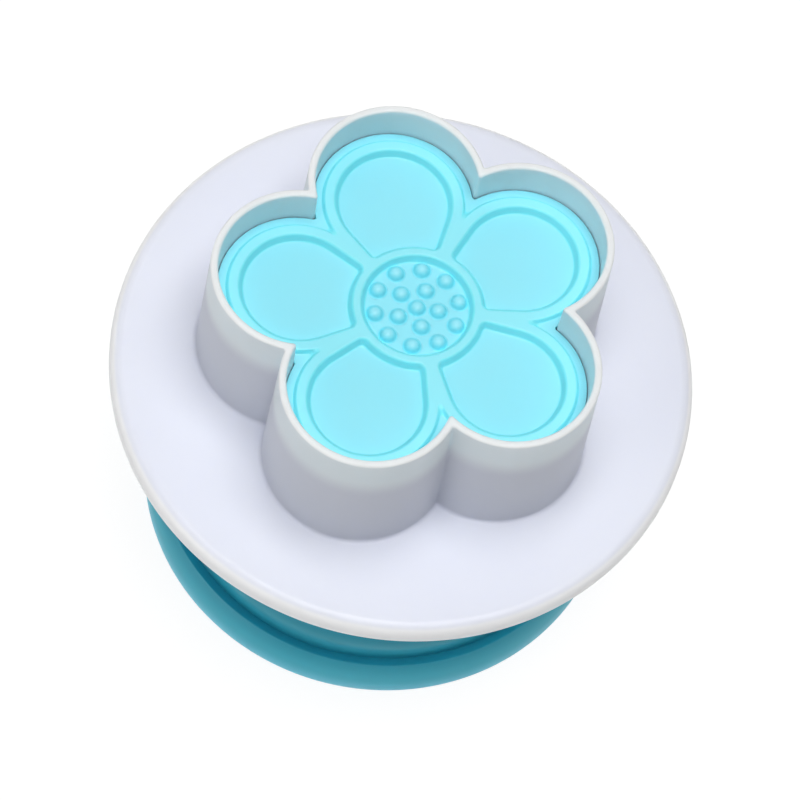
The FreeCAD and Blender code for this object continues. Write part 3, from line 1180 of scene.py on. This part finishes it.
    def build(self) -> list[bpy.types.Object]:
        """Make the moulding from one petal's share and the ribs behind it.

        Returns:
            The pieces.
        """
        share = Skin("cutter_body_moulding")
        share.stack(self.wall_rows() + self.disc_rows(), loop=False, closed=True)
        weld = WheelTree("petal_wheel", weld=WHEEL_WELD)
        moulding = weld.around(share.finish(), self.material, self.petals.count, first=0.0)
        spokes = WheelTree("gusset_wheel")
        gussets = spokes.around(self.gusset(), self.material, self.gusset_count, self.gusset_first)
        return [self.settle(moulding), self.settle(gussets)]


@dataclass
class EmbossingStamp(FlowerMoulding):
    """The cyan stamp: plate with petal ribs, ring and domes, skirt, webs and fluted stem."""

    dome_finish: MouldedPlastic = DOME_CYAN
    edge_radius: float = 9.25
    # How much further out the skirt's edge is at the face than at its foot
    edge_flare: float = 0.16
    edge_softening: float = 0.06
    rib_height: float = 0.5
    floor_depth: float = 0.4
    plate: float = 2.0
    rib_margin: float = 0.95
    rib_width: float = 1.60
    ring_radius: float = 7.05
    ring_width: float = 1.45
    # How far the foot and the top of a full slope lie to either side of its middle
    rib_lean: float = 0.24
    # Radii that round the top and foot of the outermost slope, and of the slopes to the floors
    crown: float = 0.30
    foot: float = 0.20
    slope_crown: float = 0.40
    slope_foot: float = 0.30
    # How far past the outermost crown the outline runs in, as a share of the crown's radius
    crown_run: float = 0.75
    skirt_wall: float = 1.4
    skirt_valley: float = 1.2
    dome_rows: int = 2
    dome_spacing: float = 2.5
    dome_radius: float = 0.97
    dome_height: float = 0.83
    # Radius of the fillet round a dome
    dome_foot: float = 0.28
    dome_steps: int = 10
    dome_foot_steps: int = 4
    dome_columns: int = 40
    # Painted shade round a dome's sides and painted light on its top
    dome_side_painted_shade: Colour = (0.72, 1.00, 1.00)
    dome_top_painted_light: Colour = (1.10, 1.04, 1.02)
    # Painted shade on the slopes and painted light on the rib tops
    slope_painted_shade: Colour = (0.80, 1.05, 1.01)
    crest_painted_light: Colour = (1.02, 1.05, 1.03)
    # Height over which the painted shade of a slope or a dome fades in
    slope_fade: float = 0.04
    web_depth: float = 4.0
    web_thickness: float = 1.2
    stem_radius: float = 5.0
    stem_chamfer: float = 0.30
    flute_count: int = 4
    flute_width: float = 2.4
    flute_depth: float = 2.0
    # Height above the hub's collar where the flutes start
    flute_start: float = 6.0
    # Height over which a flute runs out at either end
    flute_run: float = 2.0
    flute_steps: int = 8
    # Power that gives a flute its flat floor
    flute_squareness: int = 4
    stem_columns: int = 192
    pilot_radius: float = 1.8
    # Room above the screw's tip
    pilot_room: float = 1.0

    node = "embossing_stamp"
    body = Body.PLUNGER
    slot = Slot.CYAN

    @property
    def face(self) -> float:
        """Height of the margin round the ribs."""
        return self.stack.rib_top - self.rib_height

    @property
    def floor(self) -> float:
        """Height of the sunk floors."""
        return self.face - self.floor_depth

    @property
    def back(self) -> float:
        """Height of the plate's back."""
        return self.face - self.plate

    def shades(self) -> list[Shade]:
        """Painted shade, deeper on the slopes between the floors, the margin and the rib tops, with painted
        light on the rib tops.

        Returns:
            Heights with their colours, lowest first.
        """
        fade = self.slope_fade
        top = self.stack.rib_top
        return [
            (self.floor, PLAIN),
            (self.floor + fade, self.slope_painted_shade),
            (self.face - fade, self.slope_painted_shade),
            (self.face, PLAIN),
            (self.face + fade, self.slope_painted_shade),
            (top - fade, self.slope_painted_shade),
            (top, self.crest_painted_light),
        ]

    def skirt_rows(self) -> list[Row]:
        """Rows from the middle of the plate's back, down the inside of the skirt to the disc.

        Returns:
            Points and height of each row, for one petal's share.
        """
        inside = self.edge_radius - self.skirt_wall
        corners = [
            Corner(inside - 2 * self.soft, self.back),
            Corner(inside, self.back, self.soft),
            Corner(inside, self.disc_top, self.soft),
            Corner(inside + 2 * self.soft, self.disc_top),
        ]
        middle = [(self.petals.circle(0.0), self.back), (self.petals.circle(self.stem_radius), self.back)]
        skirt = [(self.petals.outline(point.x, self.skirt_valley), point.y) for point in rounded(corners)]
        return middle + skirt

    def edge_rows(self) -> list[Row]:
        """Rows up the outside of the skirt, over the margin and up the petal ribs.

        Returns:
            Points and height of each row, for one petal's share.
        """
        rib = self.edge_radius - self.rib_margin
        lean = self.rib_lean * self.rib_height / (self.rib_height + self.floor_depth)
        top = self.stack.rib_top
        corners = [
            Corner(self.edge_radius - 2 * self.soft, self.disc_top),
            Corner(self.edge_radius, self.disc_top, self.soft),
            Corner(self.edge_radius + self.edge_flare, self.face, self.edge_softening),
            Corner(rib + lean, self.face, self.foot),
            Corner(rib - lean, top, self.crown),
            Corner(rib - lean - self.crown * self.crown_run, top),
        ]
        return [(self.petals.outline(point.x, self.valley), point.y) for point in rounded(corners)]

    def slope(self, nominal: float, way: int) -> list[Vector]:
        """Outline from a rib's top down to a sunk floor.

        Args:
            nominal: Place of the slope's middle.
            way: 1 where the floor lies outwards of it, -1 where it lies inwards.

        Returns:
            Points with the place as x and the height as y.
        """
        top = self.stack.rib_top
        run = self.rib_lean + self.slope_crown
        corners = [
            Corner(nominal - way * run, top),
            Corner(nominal - way * self.rib_lean, top, self.slope_crown),
            Corner(nominal + way * self.rib_lean, self.floor, self.slope_foot),
            Corner(nominal + way * run, self.floor),
        ]
        return rounded(corners)

    def plate_share(self) -> bpy.types.Object:
        """One petal's share of the plate, its design and its skirt.

        Returns:
            The share, open at its two sides.
        """
        skin = Skin("embossing_stamp_plate")
        edge = skin.stack(self.skirt_rows() + self.edge_rows(), loop=False)[-1]
        inside = self.ring_radius - self.ring_width / 2
        ring_rows = [(self.petals.circle(point.x), point.y) for point in self.slope(inside, -1)]
        ring = skin.stack(ring_rows + [(self.petals.circle(0.0), self.floor)], loop=False)[0]
        radius = self.edge_radius - self.rib_margin - self.rib_width
        floor = FloorOutline(self.petals.reach, radius, self.ring_radius + self.ring_width / 2)
        sunk = skin.stack([(floor.loop(point.x), point.y) for point in self.slope(0.0, 1)], loop=True)
        skin.fill(edge + ring[::-1], sunk[0])
        skin.fill(sunk[-1])
        return skin.finish()

    def dome(self) -> bpy.types.Object:
        """One dome: the cap of a ball with a fillet at its foot, closed under the sunk floor.

        Returns:
            The dome, on the axis.
        """
        fillet = self.dome_foot
        ball = (self.dome_radius ** 2 + self.dome_height ** 2) / (2 * self.dome_height)
        below = ball - self.dome_height
        out = math.sqrt((ball + fillet) ** 2 - (below + fillet) ** 2)
        lean = math.degrees(math.asin((below + fillet) / (ball + fillet)))
        sunk = self.floor - self.foot
        outline = arc((0.0, self.floor - below), ball, 90.0, lean, self.dome_steps)
        outline += arc((out, self.floor + fillet), fillet, 180.0 + lean, 270.0, self.dome_foot_steps)[1:]
        outline += [Corner(out, sunk), Corner(0.0, sunk)]
        return lathed("embossing_stamp_dome.one", rounded(outline), self.dome_columns)

    def domes(self) -> bpy.types.Object:
        """Every dome in one piece, with painted shade round their sides and painted light on their tops.

        Returns:
            The piece.
        """
        shades = [
            (self.floor, PLAIN),
            (self.floor + self.slope_fade, self.dome_side_painted_shade),
            (self.floor + self.dome_height / 2, self.dome_side_painted_shade),
            (self.floor + self.dome_height, self.dome_top_painted_light),
        ]
        tree = DomeTree("dome_rows", self.dome_rows, self.petals.count)
        one = self.dome()
        values = {"Dome": one, "Spacing": self.dome_spacing * MM}
        made = tree.make("embossing_stamp_domes", self.dome_finish.material(shades), values)
        bpy.data.objects.remove(one)
        return made

    def web(self) -> bpy.types.Object:
        """One web from the stem to a valley of the skirt.

        Returns:
            The web.
        """
        low = self.back - self.web_depth
        sunk = self.back + self.soft
        outer = self.petals.reach - self.soft
        inner = self.stem_radius - self.soft
        cut = self.web_depth / 2
        corners = [(inner, low), (outer - cut, low), (outer, low + cut), (outer, sunk), (inner, sunk)]
        return wedge("embossing_stamp_webs", corners, self.web_thickness)

    def flute(self, turn: float, height: float) -> float:
        """Depth of the flutes.

        Args:
            turn: Angle round the stem in radians.
            height: Height above the rest plane.

        Returns:
            How far the stem's surface lies inwards there.
        """
        pitch = 2 * math.pi / self.flute_count
        off = (turn % pitch) - pitch / 2
        across = self.stem_radius * math.sin(off) / (self.flute_width / 2)
        low = (height - self.stack.collar_top - self.flute_start) / self.flute_run
        high = (self.back - self.web_depth - height) / self.flute_run
        fade = max(0.0, min(1.0, low, high))
        return self.flute_depth * fade * math.sqrt(max(0.0, 1 - across ** self.flute_squareness))

    def stem(self) -> bpy.types.Object:
        """The stem: plain end in the hub's socket, flutes along the guide, and a pilot hole.

        Returns:
            The stem.
        """
        end = self.stack.socket_floor
        top = self.back + self.soft
        web_low = self.back - self.web_depth
        flute_low = self.stack.collar_top + self.flute_start
        pilot_top = self.stack.screw_tip + self.pilot_room
        corners = [
            Corner(0.0, pilot_top),
            Corner(self.pilot_radius, pilot_top, self.soft / 2),
            Corner(self.pilot_radius, end, self.soft / 2),
            Corner(self.stem_radius, end, self.stem_chamfer),
        ]
        for run_low in (flute_low, web_low - self.flute_run):
            for step in range(self.flute_steps + 1):
                corners.append(Corner(self.stem_radius, run_low + self.flute_run * step / self.flute_steps))
        corners += [Corner(self.stem_radius, top), Corner(0.0, top)]
        around = turns_round(self.stem_columns)
        rows: list[Row] = []
        for point in rounded(corners):
            fluted = point.x > self.pilot_radius
            cuts = [self.flute(turn, point.y) if fluted else 0.0 for turn in around]
            places = [heading(turn) * max(0.0, point.x - cut) for turn, cut in zip(around, cuts)]
            rows.append((places, point.y))
        skin = Skin("embossing_stamp_stem")
        skin.stack(rows, loop=True)
        return skin.finish()

    def build(self) -> list[bpy.types.Object]:
        """Make the domes, the plate from one petal's share, the webs and the stem.

        Returns:
            The pieces.
        """
        petals = self.petals.count
        domes = self.domes()
        weld = WheelTree("stamp_wheel", weld=WHEEL_WELD)
        plate = weld.around(self.plate_share(), self.material, petals, first=0.0)
        first_valley = 90 + 180 / petals
        webs = WheelTree("web_wheel").around(self.web(), self.material, petals, first_valley)
        return [self.settle(piece) for piece in (plate, domes, webs, self.stem())]


@dataclass
class PlungerHub(Moulding):
    """The cyan dome above the palm cap, with the stem's socket and the lower spring pocket."""

    wall: float = 1.8
    side_height: float = 4.2
    side_draft: float = 0.3
    shoulder: float = 2.4
    collar_rise: float = 0.8
    # Room between the collar and the guide tube's end at the stop
    stop_gap: float = 0.02
    crest_width: float = 0.8
    pocket_radius: float = 9.4
    collar_radius: float = 7.2
    socket_radius: float = 5.05
    screw_hole: float = 1.8
    snap_height: float = 1.1
    snap_depth: float = 0.4
    snap_half_width: float = 0.45
    rib_count: int = 8
    rib_thickness: float = 1.2
    rib_gap: float = 2.5
    # Painted shade: the hub's colour is made darker, most of all above the groove
    foot_painted_shade: Colour = (0.70, 0.86, 0.88)
    dome_painted_shade: Colour = (0.60, 0.69, 0.71)

    node = "plunger_hub"
    body = Body.PLUNGER
    slot = Slot.CYAN

    @property
    def crest(self) -> float:
        """Height of the rim round the spring pocket."""
        return self.stack.collar_top - self.collar_rise

    @property
    def back(self) -> float:
        """Height of the underside of the spring pocket."""
        return self.stack.pocket_floor - self.wall

    def shades(self) -> list[Shade]:
        """Painted shade, deeper above the groove than in it."""
        foot = self.stack.cap_ledge
        return [(foot, self.foot_painted_shade), (foot + self.side_height, self.dome_painted_shade)]

    def section(self) -> list[Corner]:
        """Corners of the section, from the side wall's foot over the dome and back inside.

        Returns:
            The corners of a closed outline.
        """
        foot = self.stack.cap_ledge
        side = self.stack.hub_radius
        inside = side - self.wall
        side_top = foot + self.side_height
        snap = foot + self.snap_height
        collar_top = self.stack.collar_top - self.stop_gap
        soft = self.soft
        pocket = self.pocket_radius
        return [
            Corner(side, foot, soft / 2),
            Corner(side - self.side_draft, side_top, self.shoulder),
            Corner(pocket + self.crest_width, self.crest, soft),
            Corner(pocket, self.crest, soft),
            Corner(pocket, self.stack.pocket_floor, soft),
            Corner(self.collar_radius, self.stack.pocket_floor, soft / 2),
            Corner(self.collar_radius, collar_top, soft),
            Corner(self.socket_radius, collar_top, soft),
            Corner(self.socket_radius, self.stack.socket_floor, soft / 2),
            Corner(self.screw_hole, self.stack.socket_floor, soft / 2),
            Corner(self.screw_hole, self.back, soft / 2),
            Corner(pocket + self.wall, self.back, soft),
            Corner(pocket + self.wall, self.crest - self.wall, soft / 2),
            Corner(pocket + self.wall + self.crest_width, self.crest - self.wall, soft / 2),
            Corner(inside, side_top - self.wall, 2 * soft),
            Corner(inside, snap + self.snap_half_width),
            Corner(inside + self.snap_depth, snap),
            Corner(inside, snap - self.snap_half_width),
            Corner(inside, foot, soft / 2),
        ]

    def rib(self) -> bpy.types.Object:
        """One rib under the dome.

        Returns:
            The rib.
        """
        inner = self.pocket_radius + self.soft
        outer = self.stack.hub_radius - self.wall - self.rib_gap
        top = self.crest - self.wall / 2
        fall = self.crest - self.stack.cap_ledge - self.side_height
        low = top - fall * (outer - inner) / (self.stack.hub_radius - inner)
        corners = [(inner, self.back), (outer, self.back), (outer, low), (inner, top)]
        return wedge("plunger_hub_ribs", corners, self.rib_thickness)

    def build(self) -> list[bpy.types.Object]:
        """Make the dome and the ribs under it.

        Returns:
            The pieces.
        """
        dome = lathed("plunger_hub_dome", rounded(self.section(), closed=True))
        wheel = WheelTree("hub_rib_wheel")
        ribs = wheel.around(self.rib(), self.material, self.rib_count, first=180 / self.rib_count)
        return [self.settle(dome), self.settle(ribs)]


@dataclass
class PalmCap(Moulding):
    """The thick cyan cap that the palm pushes and that the tool stands on."""

    edge_height: float = 2.0
    shoulder_height: float = 4.0
    shoulder_inset: float = 1.5
    wall: float = 1.8
    dish_radius: float = 22.0
    dish_depth: float = 1.2
    spigot_radius: float = 25.0
    spigot_wall: float = 1.4
    snap_bead: float = 0.3
    snap_height: float = 1.1
    snap_half_width: float = 0.35
    ledge_gap: float = 0.1
    dish_steps: int = 10
    edge_steps: int = 12
    shoulder_steps: int = 10
    # Painted light round the lower edge and painted shade towards the groove
    low_painted_light: Colour = (1.85, 1.15, 1.15)
    side_painted_shade: Colour = (0.84, 0.96, 0.95)
    groove_painted_shade: Colour = (0.60, 0.80, 0.82)

    node = "palm_cap"
    body = Body.PLUNGER
    slot = Slot.CYAN

    def shades(self) -> list[Shade]:
        """Painted light round the lower edge and painted shade towards the groove.

        Returns:
            Heights with their colours, lowest first.
        """
        return [
            (self.edge_height, self.low_painted_light),
            (self.edge_height + self.shoulder_height / 2, self.side_painted_shade),
            (self.edge_height + self.shoulder_height, self.groove_painted_shade),
        ]

    def section(self) -> list[Corner]:
        """Corners of the section, from the middle of the dish round the edge to the inside.

        Returns:
            The corners, from the axis and back to it.
        """
        outside = self.stack.cap_radius
        ledge = self.stack.cap_ledge
        ball = (self.dish_radius ** 2 + self.dish_depth ** 2) / (2 * self.dish_depth)
        spread = math.degrees(math.asin(self.dish_radius / ball))
        shoulder = (self.shoulder_inset ** 2 + self.shoulder_height ** 2) / (2 * self.shoulder_inset)
        lift = math.degrees(math.asin(self.shoulder_height / shoulder))
        edge = self.edge_height
        lip = outside - self.shoulder_inset
        spigot = self.spigot_radius
        snap = ledge + self.snap_height
        floor = self.dish_depth + self.wall
        soft = self.soft
        dish = arc((0.0, self.dish_depth - ball), ball, 90.0, 90.0 - spread, self.dish_steps)[:-1]
        round_edge = arc((outside - edge, edge), edge, -90.0, 0.0, self.edge_steps)
        side = arc((outside - shoulder, edge), shoulder, 0.0, lift, self.shoulder_steps)[1:-1]
        return dish + [Corner(self.dish_radius, 0.0, 2 * soft)] + round_edge + side + [
            Corner(lip, edge + self.shoulder_height, soft / 2),
            Corner(self.stack.hub_radius + self.ledge_gap, ledge, soft / 3),
            Corner(spigot, ledge, soft / 3),
            Corner(spigot, snap - self.snap_half_width),
            Corner(spigot + self.snap_bead, snap),
            Corner(spigot, snap + self.snap_half_width),
            Corner(spigot, self.stack.spigot_top, soft),
            Corner(spigot - self.spigot_wall, self.stack.spigot_top, soft),
            Corner(spigot - self.spigot_wall, floor, soft),
            Corner(0.0, floor),
        ]

    def build(self) -> list[bpy.types.Object]:
        """Make the cap."""
        return [self.settle(lathed("palm_cap_shell", rounded(self.section())))]


@dataclass
class ReturnSpring(SubAssembly):
    """The wound steel spring between the hub's pocket and the disc's back."""

    coil_radius: float = 8.3
    wire_diameter: float = 1.2
    turns: float = 8.5
    # Gap that an end turn leaves to the next one
    end_gap: float = 0.55
    points_a_turn: int = 56
    wire_sides: int = 20
    stroke: float = 7.0

    node = "return_spring"
    body = Body.CUTTER
    slot = Slot.SPRING

    def build(self) -> list[bpy.types.Object]:
        """Wind the spring.

        Returns:
            The spring, as the only piece.
        """
        foot = self.stack.pocket_floor
        head = self.stack.disc_back
        values = {
            "Coil radius": self.coil_radius * MM,
            "Wire radius": self.wire_diameter / 2 * MM,
            "Foot": (foot + self.wire_diameter / 2) * MM,
            "Head": (head - self.wire_diameter / 2) * MM,
            "Turns": self.turns,
            "End rise": (self.wire_diameter + self.end_gap) * MM,
            "Points": round(self.turns * self.points_a_turn),
            "Wire sides": self.wire_sides,
        }
        wire = SpringTree("wound_wire").make("return_spring_wire", self.material, values)
        spring = self.settle(wire)
        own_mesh(spring)
        return [spring]


@dataclass
class RetainingScrew(SubAssembly):
    """The plated self-tapping screw that holds the hub on the stem."""

    head_height: float = 2.2
    head_radius: float = 3.4
    head_rounding: float = 1.6
    crest_radius: float = 1.72
    root_radius: float = 1.25
    seat_rounding: float = 0.1
    thread_pitch: float = 1.3
    # Half the width of the thread's ridge, as a share of the pitch
    thread_width: float = 0.32
    tip_length: float = 1.6
    row_step: float = 0.09
    recess_width: float = 0.8
    recess_length: float = 3.6
    recess_depth: float = 1.2
    # How much shorter each arm's end is at the bottom of the recess
    recess_taper: float = 0.8
    # Width of the softened edges of the arms, and how far the arms stand out of the head as they cut
    recess_edge: float = 0.04
    recess_room: float = 1.0
    head_steps: int = 8
    columns: int = 60

    node = "retaining_screw"
    body = Body.PLUNGER
    slot = Slot.SCREW

    @property
    def seat(self) -> float:
        """Height of the hub's back, which the head bears on."""
        return self.stack.screw_low + self.head_height

    def thread(self, turn: float, height: float) -> float:
        """Radius of the threaded shank.

        Args:
            turn: Angle round the screw in radians.
            height: Height above the rest plane.

        Returns:
            The radius there, running out to the tip.
        """
        phase = ((height - self.seat) / self.thread_pitch - turn / (2 * math.pi)) % 1.0
        ridge = max(0.0, 1 - abs(phase - 0.5) / self.thread_width)
        start = min(1.0, (height - self.seat) / self.thread_pitch)
        radius = self.root_radius + (self.crest_radius - self.root_radius) * ridge * start
        return radius * min(1.0, max(0.0, self.stack.screw_tip - height) / self.tip_length)

    def shank(self) -> bpy.types.Object:
        """Head and threaded shank as one skin.

        Returns:
            The screw without its recess.
        """
        low = self.stack.screw_low
        flat = self.head_radius - self.head_rounding
        corners = [Corner(0.0, low), Corner(flat, low)]
        centre = (flat, low + self.head_rounding)
        corners += arc(centre, self.head_rounding, -90.0, 0.0, self.head_steps)[1:]
        corners.append(Corner(self.head_radius, self.seat, self.seat_rounding))
        corners.append(Corner(self.root_radius, self.seat))
        around = turns_round(self.columns)
        rows: list[Row] = [([heading(turn) * point.x for turn in around], point.y)
                           for point in rounded(corners)]
        steps = round((self.stack.screw_tip - self.seat) / self.row_step)
        for step in range(1, steps + 1):
            height = self.seat + (self.stack.screw_tip - self.seat) * step / steps
            rows.append(([heading(turn) * self.thread(turn, height) for turn in around], height))
        skin = Skin("retaining_screw_threaded")
        skin.stack(rows, loop=True)
        return skin.finish()

    def build(self) -> list[bpy.types.Object]:
        """Make the screw and cut the cross recess into its head.

        Returns:
            The screw, as the only piece.
        """
        screw = self.shank()
        low = self.stack.screw_low
        under = low - self.recess_room
        bottom = low + self.recess_depth
        half = self.recess_length / 2
        flat = half - self.recess_taper
        corners = [(-half, under), (half, under), (half, low), (flat, bottom), (-flat, bottom), (-half, low)]
        cutters = []
        for name, turn in (("arm_a", 0.0), ("arm_b", math.pi / 2)):
            arm = wedge(name, corners, self.recess_width, self.recess_edge)
            arm.data.transform(Matrix.Rotation(turn, 4, "Z"))
            cut = screw.modifiers.new(name, "BOOLEAN")
            cut.object = arm
            cut.solver = "EXACT"
            cutters.append(arm)
        graph = bpy.context.evaluated_depsgraph_get()
        mesh = bpy.data.meshes.new_from_object(screw.evaluated_get(graph))
        screw.modifiers.clear()
        screw.data = mesh
        for arm in cutters:
            bpy.data.objects.remove(arm)
        return [self.settle(screw)]


# Stage

@dataclass(frozen=True)
class Lamp:
    """A soft square lamp.

    Attributes:
        name: Name of the lamp.
        place: Where it hangs, in metres.
        size: Length of its side in metres.
        level: Brightness that it alone gives a white surface that faces it.
    """

    name: str
    place: tuple[float, float, float]
    size: float
    level: float


@dataclass(frozen=True)
class Studio:
    """Pale floor, soft overhead light and the camera.

    Attributes:
        rim: Height of the cutting rim, in millimetres.
        aim: Point that the camera looks at, in millimetres from the middle of the rim.
        back: Direction from that point to the camera.
        distance: Distance of the camera in millimetres.
        roll: Angle in degrees by which the camera is turned about its view.
        lens: Focal length of the camera in millimetres.
        sensor: Width of its sensor in millimetres.
        clip: Nearest and furthest distance that it shows, in metres.
        floor_size: Length of the floor's side in millimetres.
        floor_glow: Glow of the floor as the camera sees it.
        floor_shadow: Grey of the floor as the camera sees it, which shows the shadow.
        floor_light: Glow of the floor as it lights the object.
        floor_bounce: Grey of the floor as it lights the object.
        fill: Strength of the world as it lights the object.
        lamps: The lamps.
    """

    rim: float
    aim: tuple[float, float, float] = (-1.52, -4.95, -18.8)
    back: tuple[float, float, float] = (-0.1813, -0.4163, 0.8910)
    distance: float = 411.9
    roll: float = 13.52
    lens: float = 156.58
    sensor: float = 36.0
    clip: tuple[float, float] = (0.01, 50.0)
    floor_size: float = 6000.0
    floor_glow: float = 0.92
    floor_shadow: float = 0.14
    floor_light: float = 0.22
    floor_bounce: float = 0.80
    fill: float = 0.05
    lamps: tuple[Lamp, ...] = (
        Lamp("overhead", (0.05, -0.06, 1.30), 0.75, 0.85),
        Lamp("behind", (0.15, 1.15, 0.75), 0.90, 0.05),
        Lamp("left", (-1.15, -0.35, 0.55), 0.80, 0.17),
    )

    @property
    def target(self) -> Vector:
        """Point that the camera looks at, in metres."""
        return (Vector(self.aim) + Vector((0, 0, self.rim))) * MM

    def camera(self) -> None:
        """Place the camera."""
        data = bpy.data.cameras.new("camera")
        data.lens = self.lens
        data.sensor_width = self.sensor
        data.clip_start, data.clip_end = self.clip
        camera = linked("camera", data)
        back = Vector(self.back).normalized()
        right = Vector((0, 0, 1)).cross(back).normalized()
        up = back.cross(right)
        turn = math.radians(self.roll)
        level = right * math.cos(turn) + up * math.sin(turn)
        upright = up * math.cos(turn) - right * math.sin(turn)
        place = self.target + back * self.distance * MM
        facing = Matrix((level, upright, back)).transposed().to_4x4()
        camera.matrix_world = Matrix.Translation(place) @ facing
        bpy.context.scene.camera = camera

    def floor(self) -> None:
        """Lay the floor: white to the camera where it is lit, with the object's shadow kept."""
        half = self.floor_size / 2 * MM
        mesh = bpy.data.meshes.new("floor")
        corners = [(-half, -half, 0), (half, -half, 0), (half, half, 0), (-half, half, 0)]
        mesh.from_pydata(corners, [], [(0, 1, 2, 3)])
        floor = linked("floor", mesh)
        material = bpy.data.materials.new("floor")
        material.use_nodes = True
        tree = material.node_tree
        tree.nodes.clear()
        looks = []
        for grey, strength in ((self.floor_bounce, self.floor_light), (self.floor_shadow, self.floor_glow)):
            surface = add_node(tree, "ShaderNodeBsdfDiffuse", {"Color": (grey, grey, grey, 1)})
            glow = add_node(tree, "ShaderNodeEmission", {"Strength": strength})
            both = add_node(tree, "ShaderNodeAddShader", {0: surface.outputs[0], 1: glow.outputs[0]})
            looks.append(both.outputs[0])
        inputs = {0: self.seen_directly(tree), 1: looks[0], 2: looks[1]}
        choice = add_node(tree, "ShaderNodeMixShader", inputs)
        add_node(tree, "ShaderNodeOutputMaterial", {"Surface": choice.outputs[0]})
        mesh.materials.append(material)

    @staticmethod
    def seen_directly(tree: bpy.types.NodeTree) -> bpy.types.NodeSocket:
        """1 for what the camera, a reflection or a clear body shows, and 0 for light.

        Args:
            tree: Node tree that the nodes are added to.

        Returns:
            The socket with that value.
        """
        path = add_node(tree, "ShaderNodeLightPath", {})
        seen = path.outputs["Is Camera Ray"]
        for ray in ("Is Glossy Ray", "Is Transmission Ray"):
            inputs = {0: seen, 1: path.outputs[ray]}
            seen = add_node(tree, "ShaderNodeMath", inputs, operation="MAXIMUM").outputs[0]
        return seen

    def world(self) -> None:
        """White behind everything, with a low even fill light."""
        world = bpy.data.worlds.new("studio")
        world.use_nodes = True
        tree = world.node_tree
        inputs = {"Value": self.seen_directly(tree), "To Min": self.fill, "To Max": 1.0}
        strength = add_node(tree, "ShaderNodeMapRange", inputs)
        background = tree.nodes["Background"]
        background.inputs["Color"].default_value = (1, 1, 1, 1)
        tree.links.new(strength.outputs[0], background.inputs["Strength"])
        bpy.context.scene.world = world

    def hang(self, lamp: Lamp) -> None:
        """Hang a lamp so that it faces the object.

        Args:
            lamp: The lamp.
        """
        aim = self.target - Vector(lamp.place)
        data = bpy.data.lights.new(lamp.name, "AREA")
        data.size = lamp.size
        data.energy = lamp.level * (math.pi * aim.length) ** 2
        light = linked(lamp.name, data)
        light.location = lamp.place
        light.rotation_mode = "QUATERNION"
        light.rotation_quaternion = aim.to_track_quat("-Z", "Y")

    def build(self) -> None:
        """Set up the stage."""
        self.camera()
        self.floor()
        self.world()
        for lamp in self.lamps:
            self.hang(lamp)


def main() -> None:
    """Build the stage and the sub-assemblies, and log how many pieces there are."""
    logging.basicConfig(level=logging.INFO, format="%(name)s: %(message)s")
    bpy.context.scene.view_settings.view_transform = "Standard"
    stack = Stack.measured()
    Studio(stack.rim).build()
    parts = [
        CutterBody(stack, WHITE),
        EmbossingStamp(stack, CYAN),
        PlungerHub(stack, HUB_CYAN),
        PalmCap(stack, CAP_CYAN),
        ReturnSpring(stack, SPRING_WIRE),
        RetainingScrew(stack, ZINC),
    ]
    pieces = [piece for part in parts for piece in part.build()]
    log.info("%d pieces", len(pieces))


if __name__ == "__main__":
    main()
